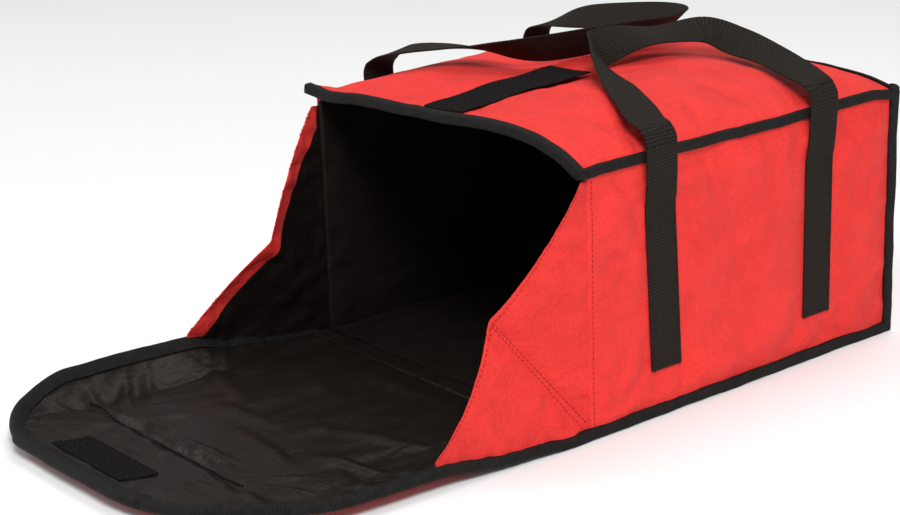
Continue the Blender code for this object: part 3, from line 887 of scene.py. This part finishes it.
def line(a, b, steps=24):
    """Points along a straight row."""
    a, b = Vector(a), Vector(b)
    return [a.lerp(b, n / steps) for n in range(steps + 1)]


# The webbing's route

def leg_y(leg, z):
    """Sideways place of a handle leg on its wall at a height."""
    return leg[0] + leg[1] * (z - LEG_BOTTOM) / (AXIS_Z - LEG_BOTTOM)


def webbing_path(sign, knots, steps):
    """Points and width directions along knots of x, y, z, heading and tilt."""
    path = []
    for x, y, z, heading, tilt in smooth_path(knots, steps):
        flat = math.cos(tilt)
        across = (sign * math.sin(heading) * flat, -math.cos(heading) * flat, -math.sin(tilt))
        path.append(((sign * x, y, z), across))
    return path


def leg_knots(leg):
    """Sewn leg from its lower end, and the free webbing above it up to the top edge."""
    heights = (mix(LEG_BOTTOM, LEG_TOP, share) for share in (0, 0.33, 0.67, 1))
    knots = [(SEWN_X, leg_y(leg, z), z, math.pi, 0) for z in heights]
    for out, up in RISER_SHARES[1:]:
        z = mix(LEG_TOP, AXIS_Z, up)
        knots.append((mix(SEWN_X, AXIS_X, out), leg_y(leg, z), z, math.pi, 0))
    return knots


def loop_knots(route):
    """Over the edge and inwards, along the grip, and back out over the edge."""
    bend = [(AXIS_X + out * MM, AXIS_Z + up * MM) for out, up in EDGE_BEND]
    first = [(x, leg_y(FRONT_LEG, AXIS_Z), z, math.pi, 0) for x, z in bend]
    last = [(x, leg_y(REAR_LEG, AXIS_Z), z, 0, 0) for x, z in bend[::-1]]
    middle = [(x * MM, y * MM, z * MM, math.radians(heading), math.radians(tilt))
              for x, y, z, heading, tilt in route]
    return first + middle + last


def beside(path, offset, lift):
    """Row of points along a webbing path, offset across its width and lifted off its face."""
    row = []
    for n, (point, across) in enumerate(path):
        before, after = Vector(path[max(n - 1, 0)][0]), Vector(path[min(n + 1, len(path) - 1)][0])
        across = Vector(across).normalized()
        normal = across.cross((after - before).normalized())
        row.append(Vector(point) + across * offset + normal * lift)
    return row


def sizes_and_colours():
    """The values that a user may change."""
    scene = bpy.context.scene
    return scene.bag_sizes, scene.bag_colours


# Operators

class BAG_OT_finishes(bpy.types.Operator):
    """Make the bag's materials"""
    bl_idname = "bag.finishes"
    bl_label = "Finishes"

    def execute(self, context):
        _, colours = sizes_and_colours()
        woven_fabric(RED, colours.shell)
        satin_lining(SATIN, colours.lining)
        binding_tape(TAPE, colours.tape)
        webbing(WEBBING, colours.webbing)
        fastener(FASTENER, colours.fastener)
        sewing_thread(RED_THREAD, colours.shell_thread)
        sewing_thread(BLACK_THREAD, shade(colours.webbing, 1.8))
        # Lining colour cut to 0.15 for the crease groove's thread: painted shadow of the narrow groove
        sewing_thread(GROOVE_SHADOW_THREAD, shade(colours.lining, 0.15))
        return {"FINISHED"}


def lumps(a, b, seed, height, u, v):
    """Soft dents and bulges of stuffed fabric, none at a panel's edges."""
    calm = smooth(min(u, 1 - u) * 9) * smooth(min(v, 1 - v) * 7)
    spot = Vector((a, b, seed * 3.7))
    return calm * height * (noise.noise(spot * 9) + 0.45 * noise.noise(spot * 24))


def crease(a, b, a0, b0, a1, b1, width, height):
    """A soft fold along a line, all in millimetres, that fades out at both ends."""
    here, start, end = Vector((a, b)) / MM, Vector((a0, b0)), Vector((a1, b1))
    run = end - start
    along = min(max((here - start).dot(run) / run.length_squared, 0), 1)
    away = (here - start - run * along).length / width
    return height * MM * math.exp(-away**2) * math.sin(math.pi * (0.1 + 0.8 * along))


def leg_gap(y, z):
    """Distance on the wall from a place to the nearest sewn handle leg."""
    beyond = max(LEG_BOTTOM - z, z - LEG_TOP, 0)
    beside_leg = min(abs(y - leg_y(leg, z)) for leg in (FRONT_LEG, REAR_LEG)) - WEBBING_WIDTH / 2
    return math.hypot(max(beside_leg, 0), beyond)


def near_edge(u, v, size, margin):
    """Whether a place on a sheet is within a margin of its edges."""
    return min(u, 1 - u) * size[0] < margin or min(v, 1 - v) * size[1] < margin


def seams(size, margin, rest=FOAM_HOLD):
    """Weights that hold a sheet at its edges, and the rest more loosely."""
    return lambda u, v: SEAM_HOLD if near_edge(u, v, size, margin) else rest


def box_x(u):
    """Sideways place across the box, from its left side to its right."""
    return mix(-HALF_WIDTH, HALF_WIDTH, u)


class BAG_OT_panels(bpy.types.Operator):
    """Make the box's padded panels: red fabric over foam, swollen between their seams"""
    bl_idname = "bag.panels"
    bl_label = "Padded panels"

    def execute(self, context):
        sizes, _ = sizes_and_colours()
        depth = REAR - FRONT
        made = {}
        for side, sign in SIDES:
            def hold(u, v):
                y, z = mix(FRONT, REAR, u), v * HEIGHT
                sewn = leg_gap(y, z) < 3 * MM or near_edge(u, v, (depth, HEIGHT), WALL_SEAM)
                return SEAM_HOLD if sewn else FOAM_HOLD

            def outside(u, v):
                y = mix(FRONT, REAR, u)
                z = mix(0.6 * MM, HEIGHT - MM + corner_rise(sign * HALF_WIDTH, y), v)
                free = smooth((leg_gap(y, z) - 2 * MM) / (24 * MM))
                swell = lumps(y, z, sign, WALL_LUMPS, u, v) * free
                swell += free * sum(crease(y, z, *spot) for spot in WALL_CREASES)
                return sign * (HALF_WIDTH - 0.2 * MM + swell), y, z
            made[f"{side}_wall"] = Sheet(f"{side}_wall_cover", outside, (depth, HEIGHT), (sign, 0, 0),
                                         sizes.cell, hold, (0.4, 0.8))
        rear = (2 * HALF_WIDTH, top_height(0, REAR))
        made["rear_wall"] = Sheet(
            "rear_wall_cover",
            lambda u, v: (box_x(u), REAR + lumps(u, v, 5, WALL_LUMPS, u, v),
                          v * (top_height(box_x(u), REAR) - 1 * MM) + 0.6 * MM),
            rear, (0, 1, 0), sizes.cell, seams(rear, WALL_SEAM), (0.5, 1.1))
        top = (2 * HALF_WIDTH, REAR - TOP_FRONT)

        def hold_top(u, v):
            x, y = box_x(u), mix(TOP_FRONT, REAR, v)
            under_strip = (STRIP[0][0] - 2 * MM < x < STRIP[1][0] + 2 * MM
                           and y < STRIP[1][1] + 2 * MM)
            return SEAM_HOLD if under_strip or near_edge(u, v, top, TOP_SEAM) else FOAM_HOLD

        def over_top(u, v):
            x, y = box_x(u), mix(TOP_FRONT, REAR, v)
            swell = lumps(x, y, 9, TOP_LUMPS, u, v) + sum(crease(x, y, *spot) for spot in TOP_CREASES)
            inner = smooth(min(u, v, 1 - u, 1 - v) * 12)
            return x, y, top_height(x, y) + inner * min(swell - 1.5 * MM, 1.2 * MM)
        made["top"] = Sheet("top_cover", over_top, top, (0, 0, 1), sizes.cell, hold_top,
                            (0.4, 0.45))
        settle(made.values())
        made["base"] = Sheet(
            "base_cover",
            lambda u, v: (box_x(u), mix(HINGE_Y, REAR, v), 0.5 * MM),
            (2 * HALF_WIDTH, REAR - HINGE_Y), (0, 0, -1), 20 * MM)
        for part, sheet in made.items():
            SHEETS[part] = sheet
            piece = pad(sheet, PANEL - 2.1 * MM if part == "base" else COVER_THICKNESS)
            dress(piece, RED, "box")
            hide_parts(f"{part}_shell", f"{part}_foam")
        return {"FINISHED"}


class BAG_OT_linings(bpy.types.Operator):
    """Make the black lining inside the box, wrapped round the front edges of the side walls"""
    bl_idname = "bag.linings"
    bl_label = "Linings"

    def execute(self, context):
        sizes, _ = sizes_and_colours()
        inner_x, inner_rear = HALF_WIDTH - PANEL, REAR - PANEL
        cell = sizes.cell * 1.6
        made = {}
        for side, sign in SIDES:
            def wrapped(u, v):
                along, turned = min(u / 0.94, 1), max((u - 0.94) / 0.06, 0)
                x = inner_x + 4.8 * MM * turned**2
                y = mix(inner_rear, FRONT + 1.6 * MM, along)
                y -= 2.4 * MM * math.sin(turned * math.pi / 2)
                return (sign * x, y, mix(PANEL - 1 * MM, HEIGHT - 5 * MM, v))
            size = (inner_rear - FRONT + 6 * MM, HEIGHT - PANEL)
            made[f"{side}_wall"] = Sheet(
                f"{side}_wall_lining_cloth", wrapped, size, (-sign, 0, 0), cell,
                lambda u, v: SEAM_HOLD if near_edge(u, v, size, LINING_SEAM) or u > 0.92 else FOAM_HOLD,
                (0.3, 0.6))
        inside = (2 * inner_x, top_height(0, REAR) - PANEL)
        made["rear_wall"] = Sheet(
            "rear_wall_lining_cloth",
            lambda u, v: (mix(-inner_x, inner_x, u), inner_rear,
                          mix(PANEL, top_height(mix(-inner_x, inner_x, u), REAR) - PANEL, v)),
            inside, (0, -1, 0), cell, seams(inside, LINING_SEAM), (0.3, 0.6))
        ceiling = (2 * inner_x, inner_rear - TOP_FRONT)
        made["top"] = Sheet(
            "top_lining_cloth",
            lambda u, v: (mix(-inner_x, inner_x, u), mix(TOP_FRONT, inner_rear, v),
                          top_height(box_x(u), mix(TOP_FRONT, inner_rear, v)) - PANEL),
            ceiling, (0, 0, -1), cell, seams(ceiling, LINING_SEAM), (0.3, 0.6))
        floor = (2 * inner_x, inner_rear - HINGE_Y)

        def over_base(u, v):
            y = mix(HINGE_Y, inner_rear + MM, v)
            half = mix(HALF_WIDTH - 2 * MM, inner_x + 1.2 * MM, smooth((y - FRONT) / (6 * MM) + 1))
            return mix(-half, half, u), y, PANEL
        made["base"] = Sheet(
            "base_lining_cloth", over_base, floor, (0, 0, 1), cell,
            seams(floor, LINING_SEAM, 0.1), (0.15, 0.4))
        settle(made.values())
        for part, sheet in made.items():
            piece = dress(pad(sheet, LINING_THICKNESS), SATIN, "box")
            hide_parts(f"{part}_lining")
        return {"FINISHED"}


class BAG_OT_flap(bpy.types.Operator):
    """Make the front flap and its tongue: red underside over foam, wrinkled black lining on top"""
    bl_idname = "bag.flap"
    bl_label = "Flap and tongue"

    def execute(self, context):
        sizes, _ = sizes_and_colours()
        size = (2 * FLAP_HALF_WIDTH, HINGE_Y - TIP_Y)

        def under(u, v):
            return flap_point(*flap_place(u, v, 3 * MM), 0.8 * MM)

        def over(u, v):
            x, y = flap_place(u, v, 1.5 * MM)
            pad_gap = math.hypot(max(PAD[0][0] - x, x - PAD[1][0], 0),
                                 max(PAD[0][1] - y, y - PAD[1][1], 0))
            calm = smooth(min(u, 1 - u) * 16) * smooth((y - TIP_Y) / (20 * MM))
            calm *= smooth((HINGE_Y - y) / (30 * MM))
            calm *= smooth(pad_gap / (12 * MM))
            swell = 1.4 * sum(crease(x, y, *spot) for spot in LINING_CREASES)
            swell += 1.6 * MM * noise.noise(Vector((x * 42, y * 20, 3)))
            groove = math.exp(-((y - CREASE_Y) / GROOVE_WIDTH) ** 2)
            groove *= smooth((x - GROOVE_X[0]) / GROOVE_FADE) * smooth((GROOVE_X[1] - x) / GROOVE_FADE)
            return flap_point(x, y, PANEL + max(swell * calm - GROOVE_DEPTH * groove, -GROOVE_DEPTH))

        def hold(u, v):
            x, y = flap_place(u, v)
            under_pad = (PAD[0][0] - 3 * MM < x < PAD[1][0] + 3 * MM
                         and PAD[0][1] - 3 * MM < y < PAD[1][1] + 3 * MM)
            sewn = near_edge(u, v, size, LINING_SEAM) or abs(y - CREASE_Y) < 3 * MM or under_pad
            return SEAM_HOLD if sewn else FOAM_HOLD
        lining = Sheet("flap_lining_cloth", over, size, (0, 0, 1), sizes.cell * 0.6, hold, (0.15, 0.5))
        settle([lining])
        cover = Sheet("flap_cover", under, size, (0, 0, -1), sizes.cell * 1.4)
        SHEETS["flap_lining"] = lining
        red = dress(pad(cover, FLAP_COVER_THICKNESS), RED)
        black = dress(pad(lining, LINING_THICKNESS), SATIN)
        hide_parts("flap_shell", "flap_foam", "tongue_shell", "tongue_foam")
        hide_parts("flap_lining", "tongue_lining")
        across_crease(red)
        across_crease(black)
        for name, z, facing, material, slot in (
                ("hinge_cover", 0.4 * MM, -1, RED, "red_polyester"),
                ("hinge_lining", PANEL + 0.5 * MM, 1, SATIN, "black_nylon")):
            half = HALF_WIDTH - (1 if facing < 0 else 3) * MM
            strip = Sheet(name, lambda u, v: (mix(-half, half, u), HINGE_Y + mix(11, -11, v) * MM, z),
                          (2 * half, 22 * MM), (0, 0, facing), 5 * MM)
            piece = dress(pad(strip, 0.4 * MM, 0), material)
            2 * half
            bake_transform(piece)
        return {"FINISHED"}


class BAG_OT_gussets(bpy.types.Operator):
    """Make the side gussets: red outside, black inside, with a red hem along the free edge"""
    bl_idname = "bag.gussets"
    bl_label = "Gussets"

    def execute(self, context):
        sizes, _ = sizes_and_colours()
        size = (HEIGHT + GUSSET_TIP_REACH + HINGE_Y - FRONT, GUSSET_DEPTH)
        outer = {}
        for side, sign in SIDES:
            outer[side] = Sheet(
                f"{side}_gusset_cover", lambda u, v: gusset_point(sign, u, v), size, (sign, 0, 0),
                sizes.cell * 0.8,
                lambda u, v: SEAM_HOLD if v < 0.03 or u < 0.02 or u > 0.98 or abs(u - 0.5) < 0.006
                else (0.5 if v > 0.97 else FOAM_HOLD * 2),
                (0.6, 0.6))
        settle(outer.values())
        for side, sign in SIDES:
            sheet = outer[side]
            SHEETS[f"{side}_gusset"] = sheet

            def inside(u, v):
                width = (gusset_point(sign, u, 1) - gusset_point(sign, u, 0)).length
                return sheet.at(u, v * max(1 - GUSSET_HEM / width, 0.3), -1.5 * MM)
            lining = Sheet(f"{side}_gusset_lining_cloth", inside, size, (-sign, 0, 0), sizes.cell)
            for part, cloth, thickness, material, slot in (
                    ("shell", sheet, 1.0 * MM, RED, "red_polyester"),
                    ("lining", lining, 0.6 * MM, SATIN, "black_nylon")):
                area = GUSSET_AREA if part == "shell" else sum(p.area for p in cloth.ob.data.polygons)
                piece = dress(pad(cloth, thickness), material, "box")
                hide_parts(f"{side}_gusset_{part}")
                cut = size if part == "shell" else (size[0] * 0.9, size[1] - GUSSET_HEM)
                fold_with_flap(piece)
        return {"FINISHED"}


class BAG_OT_tapes(bpy.types.Operator):
    """Make the binding tape along the box's edges and round the flap and tongue"""
    bl_idname = "bag.tapes"
    bl_label = "Binding tape"

    def execute(self, context):
        side_x, back_y = HALF_WIDTH + TAPE_STAND_OFF, REAR + TAPE_STAND_OFF
        front_y = TOP_FRONT - 0.8 * MM
        upright = spread(3 * MM, HEIGHT - 2 * MM, 40)
        tapes = {}
        for side, sign in SIDES:
            x, down = sign * side_x, (0, 0, -sign)
            tapes[f"{side}_base_tape"] = (
                [((x, y, BASE_TAPE_Z), down) for y in spread(HINGE_Y, REAR, 60)], BASE_TAPE)
            tapes[f"{side}_top_tape"] = (
                [((x, y, HEIGHT - TAPE_DROP + corner_rise(x, y)), down)
                 for y in spread(TOP_FRONT, REAR, 60)], TOP_TAPE)
            tapes[f"{side}_rear_tape"] = (
                [((x, REAR - 4.2 * MM, z), (0, sign, 0)) for z in upright], UPRIGHT_TAPE)
            tapes[f"{side}_rear_tape_return"] = (
                [((x - sign * 5.2 * MM, back_y, z), (-sign, 0, 0)) for z in upright], UPRIGHT_TAPE)
        tapes["rear_base_tape"] = (
            [((x, back_y, BASE_TAPE_Z), (0, 0, -1)) for x in spread(HALF_WIDTH, -HALF_WIDTH, 60)],
            BASE_TAPE)
        for name, y, sign in (("rear_top_tape", back_y, 1), ("front_top_tape", front_y, -1)):
            path = []
            for x in spread(HALF_WIDTH, -HALF_WIDTH, 80):
                slope = 0
                if abs(x) < HALF_WIDTH - MM:
                    slope = (top_height(x + MM, y) - top_height(x - MM, y)) / (2 * MM)
                up = Vector((-slope, 0, 1)).normalized()
                edge = Vector((x, y, top_height(x, min(max(y, TOP_FRONT), REAR))))
                path.append((edge - up * TAPE_DROP, up * -sign))
            tapes[name] = (path, FRONT_TAPE if sign < 0 else TOP_TAPE)
        for name, (path, half_width) in tapes.items():
            bulge = FRONT_TAPE_BULGE if name == "front_top_tape" else TAPE_BULGE
            piece = sweep(name + "_bound", path, tape_outline(half_width, bulge), TAPE_WAVER,
                          tuck=TAPE_TUCK)
            dress(piece, TAPE, "box")
            if not name.endswith("return"):
                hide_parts(name)
        piece = sweep("flap_tape_bound", rim_path(), binding_outline(), BINDING_WAVER,
                      tuck=TAPE_TUCK)
        dress(piece, TAPE)
        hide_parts("flap_left_tape", "flap_right_tape", "tongue_tape")
        across_crease(piece)
        return {"FINISHED"}


def spread(a, b, count):
    """Even steps from a to b."""
    return [mix(a, b, n / count) for n in range(count + 1)]


def tape_outline(half_width, half_height):
    """Folded tape seen from its end: flat where it lies on the fabric, rounded outside."""
    points = [(-half_width, -half_height), (half_width, -half_height)]
    count = 9
    for k in range(count + 1):
        angle = math.pi * k / count
        a, b = math.cos(angle), math.sin(angle)
        points.append((half_width * a, half_height * min(b * 1.7, 1 - 0.12 * a * a)))
    return points


def binding_outline():
    """Binding folded round the flap's edge: nearly flat above and below, rounded outside."""
    return [(a * MM, b * MM) for a, b in (
        (-8.8, -4.5), (-8.8, 4.3), (-8.4, 4.9), (-4, 5.2), (0.2, 5.1), (2.4, 4.5), (3.8, 2.9), (4.3, 0),
        (3.9, -2.6), (2.4, -4.2), (0, -4.7), (-8.6, -4.7))]


def rim_path():
    """Points round the flap's and tongue's edge, with the outward direction along the panel."""
    spots = [(0, v) for v in spread(0.004, 1, 110)] + [(u, 1) for u in spread(0, 1, 16)[1:-1]]
    spots += [(1, v) for v in spread(1, 0.004, 110)]
    flat = [Vector(flap_place(u, v)) for u, v in spots]
    path = []
    for n, here in enumerate(flat):
        along = (flat[min(n + 1, len(flat) - 1)] - flat[max(n - 1, 0)]).normalized()
        out = Vector((along.y, -along.x))
        edge, inner = (flap_point(*(here - out * back), 4.8 * MM) for back in (1.4 * MM, 8 * MM))
        path.append((edge, edge - inner))
    return path


class BAG_OT_handles(bpy.types.Operator):
    """Make the two webbing handles, each one strap sewn low on the wall and looped over the top"""
    bl_idname = "bag.handles"
    bl_label = "Webbing handles"

    def execute(self, context):
        profile = round_bar(WEBBING_WIDTH / 2, WEBBING_THICKNESS / 2)
        for side, sign, route in (("right", 1, RIGHT_LOOP), ("left", -1, LEFT_LOOP)):
            for place, leg in (("front", FRONT_LEG), ("rear", REAR_LEG)):
                path = webbing_path(sign, leg_knots(leg), 7)
                strap = sweep(f"{side}_{place}_handle_strap", path, profile, square_ends=(0, 0, 1))
                dress(strap, WEBBING)
                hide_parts(f"{side}_{place}_handle_leg", f"{side}_{place}_handle_riser")
                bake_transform(strap)
            path = webbing_path(sign, loop_knots(route), 9)
            loop = sweep(f"{side}_handle_strap_loop", path, profile, square_ends=(0, 0, 1))
            dress(loop, WEBBING, f"{side}_loop")
            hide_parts(f"{side}_handle_loop")
        return {"FINISHED"}


class BAG_OT_closure(bpy.types.Operator):
    """Make the hook pad on the tongue and the loop strip on the top, with their fibres"""
    bl_idname = "bag.closure"
    bl_label = "Hook and loop closure"

    def execute(self, context):
        sizes, _ = sizes_and_colours()
        (x0, y0, _), (x1, y1, _) = PAD

        def pad_place(u, v):
            return flap_point(mix(x0, x1, u), mix(y0, y1, v), PANEL + 1.4 * MM)
        hooks = Sheet("hook_pad_backing", pad_place, (x1 - x0, y1 - y0), (0, 0, 1), 3 * MM)
        (x2, y2, _), (x3, y3, _) = STRIP

        def strip_place(u, v):
            x, y = mix(x2, x3, u), mix(y2 + 4 * MM, y3, v)
            edge = 0.7 * MM * math.sin(y * 95) * (2 * u - 1) ** 2
            return (x, y, top_height(x, y) + 1.6 * MM + edge)
        loops = Sheet("loop_strip_backing", strip_place, (x3 - x2, y3 - y2), (0, 0, 1), 3 * MM)
        for sheet, node, body, slot, density, rests in (
                (hooks, "hook_pad", "tongue", "hook_fastener", 1.0, "flap_lining_cloth"),
                (loops, "loop_strip", "box", "loop_fastener", 0.6, "top_cover")):
            fibres = link(f"{node}_fibres", sheet.ob.data.copy())
            fibres = grow(fibres, "fibres", Density=sizes.fibre_density * density, Length=sizes.fibre,
                          Thickness=sizes.fibre * 0.28, Material=bpy.data.materials[FASTENER])
            backing = dress(pad(sheet, 1.2 * MM, 0), FASTENER, body)
            dress(fibres, FASTENER, body)
            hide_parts(node)
        return {"FINISHED"}


class BAG_OT_stitches(bpy.types.Operator):
    """Sew the seams: walls, gussets, handles, binding and the crease"""
    bl_idname = "bag.stitches"
    bl_label = "Stitches"

    def execute(self, context):
        for side, sign in SIDES:
            wall, gusset = SHEETS[f"{side}_wall"], SHEETS[f"{side}_gusset"]
            rows = [wall.row((0.014, 0.06), (0.014, 0.955), 0.35 * MM, 60)]
            sew(f"{side}_wall_stitches", rows, RED_THREAD, "box")
            rows = [gusset.row((0.5 + off, 0.05), (0.5 + off * 0.4, 0.96), 0.4 * MM)
                    for off in (-0.012, 0.012)]
            rows += [gusset.row((0.03, 0.97), (0.97, 0.97), 0.4 * MM, 90)]
            fold_with_flap(sew(f"{side}_gusset_stitches", rows, RED_THREAD, "box"))
            rows = []
            face, half = WEBBING_THICKNESS / 2, WEBBING_WIDTH / 2 - 3 * MM
            for leg in (FRONT_LEG, REAR_LEG):
                path = [p for p in webbing_path(sign, leg_knots(leg), 7) if p[0][2] <= LEG_TOP]
                for offset in (-1, 1):
                    rows.append(beside(path, offset * half, sign * face))
                for z in (LEG_BOTTOM + 4 * MM, LEG_TOP - 1 * MM, LEG_TOP - 14 * MM):
                    x, y = sign * (SEWN_X + face), leg_y(leg, z)
                    rows.append(line((x, y - half, z), (x, y + half, z)))
            sew(f"{side}_handle_stitches", rows, BLACK_THREAD, "box")
        rim = [(Vector(point), Vector(across).normalized()) for point, across in rim_path()]
        rows = [[p - a * 6.8 * MM + Vector((0, 0, 5.1 * MM)) for p, a in rim]]
        across_crease(sew("flap_binding_stitches", rows, BLACK_THREAD))
        lining = SHEETS["flap_lining"]
        rows = [lining.row((0.10, CREASE_SHARE), (0.76, CREASE_SHARE), 1.4 * MM, 90)]
        # Real stitches along the crease groove, drawn thick and near black as painted shadow of the
        # narrow groove
        across_crease(sew("crease_stitches", rows, GROOVE_SHADOW_THREAD, weight=2.4))
        return {"FINISHED"}


class BAG_OT_stage(bpy.types.Operator):
    """Make the floor, the soft light and the camera at the photograph's angle"""
    bl_idname = "bag.stage"
    bl_label = "Stage"

    def execute(self, context):
        _, colours = sizes_and_colours()
        scene = context.scene
        scene.view_settings.view_transform = "Standard"
        bm = bmesh.new()
        bmesh.ops.create_grid(bm, x_segments=8, y_segments=8, size=6)
        mesh = bpy.data.meshes.new("floor")
        bm.to_mesh(mesh)
        bm.free()
        floor = link("floor", mesh)
        finish = Finish("pale floor", colours.floor)
        soft = finish.speckle(finish.place(), 3, 2)
        tone = finish.tone(soft, shade(colours.floor, 0.98), colours.floor)
        finish.set(Base_Color=tone, Roughness=0.9, Specular_IOR_Level=0.1)
        mesh.materials.append(finish.material)
        world = bpy.data.worlds.new("soft room")
        scene.world = world
        world.use_nodes = True
        tree = world.node_tree
        lit = tree.nodes["Background"]
        lit.inputs["Color"].default_value = (1, 1, 1, 1)
        lit.inputs["Strength"].default_value = ROOM_LIGHT
        shown = tree.nodes.new("ShaderNodeBackground")
        shown.inputs["Color"].default_value = (1, 1, 1, 1)
        rays = tree.nodes.new("ShaderNodeLightPath")
        blend = tree.nodes.new("ShaderNodeMixShader")
        tree.links.new(rays.outputs["Is Camera Ray"], blend.inputs["Fac"])
        tree.links.new(lit.outputs["Background"], blend.inputs[1])
        tree.links.new(shown.outputs["Background"], blend.inputs[2])
        tree.links.new(blend.outputs["Shader"], tree.nodes["World Output"].inputs["Surface"])
        for name, place, power, size in LAMPS:
            lamp = bpy.data.lights.new(name, "AREA")
            lamp.energy, lamp.size, lamp.shape = power, size, "DISK"
            ob = bpy.data.objects.new(name, lamp)
            scene.collection.objects.link(ob)
            ob.location = place
            aim = Vector(LAMPS_AIM) - Vector(place)
            ob.rotation_euler = aim.to_track_quat("-Z", "Y").to_euler()
        lens = bpy.data.cameras.new("camera")
        lens.sensor_width, lens.lens, lens.clip_start = 36, CAMERA_LENS, 0.05
        camera = bpy.data.objects.new("camera", lens)
        scene.collection.objects.link(camera)
        scene.camera = camera
        camera.matrix_world = camera_place(CAMERA_EYE, *CAMERA_TURNS)
        return {"FINISHED"}


def camera_place(eye, yaw, pitch, roll):
    """Camera matrix from its eye point and its turns, in radians."""
    flat = math.cos(pitch)
    ahead = Vector((-math.sin(yaw) * flat, math.cos(yaw) * flat, -math.sin(pitch)))
    right = Vector((math.cos(yaw), math.sin(yaw), 0))
    up = right.cross(ahead)
    right, up = (right * math.cos(roll) + up * math.sin(roll),
                 up * math.cos(roll) - right * math.sin(roll))
    return Matrix((
        (right.x, up.x, -ahead.x, eye[0]), (right.y, up.y, -ahead.y, eye[1]),
        (right.z, up.z, -ahead.z, eye[2]), (0, 0, 0, 1)))


class BAG_PT_builder(bpy.types.Panel):
    """Sidebar panel with the bag's sizes, colours and steps."""
    bl_idname = "BAG_PT_builder"
    bl_label = "Padded Delivery Bag"
    bl_space_type = "VIEW_3D"
    bl_region_type = "UI"
    bl_category = "Bag"

    def draw(self, context):
        layout = self.layout
        for group in (context.scene.bag_sizes, context.scene.bag_colours):
            column = layout.column()
            for key in group.__annotations__:
                column.prop(group, key)
        for step in STEPS:
            layout.operator(step.bl_idname)


STEPS = (BAG_OT_finishes, BAG_OT_panels, BAG_OT_linings, BAG_OT_flap, BAG_OT_gussets, BAG_OT_tapes,
         BAG_OT_handles, BAG_OT_closure, BAG_OT_stitches, BAG_OT_stage)
CLASSES = (BagSizes, BagColours, *STEPS, BAG_PT_builder)


def register():
    for item in CLASSES:
        bpy.utils.register_class(item)
    bpy.types.Scene.bag_sizes = PointerProperty(type=BagSizes)
    bpy.types.Scene.bag_colours = PointerProperty(type=BagColours)


def unregister():
    del bpy.types.Scene.bag_colours
    del bpy.types.Scene.bag_sizes
    for item in reversed(CLASSES):
        bpy.utils.unregister_class(item)


def main():
    """Builds every group of pieces."""
    noise.seed_set(WAVER_SEED)
    register()
    for step in STEPS:
        group, name = step.bl_idname.split(".")
        getattr(getattr(bpy.ops, group), name)()


if __name__ == "__main__":
    main()
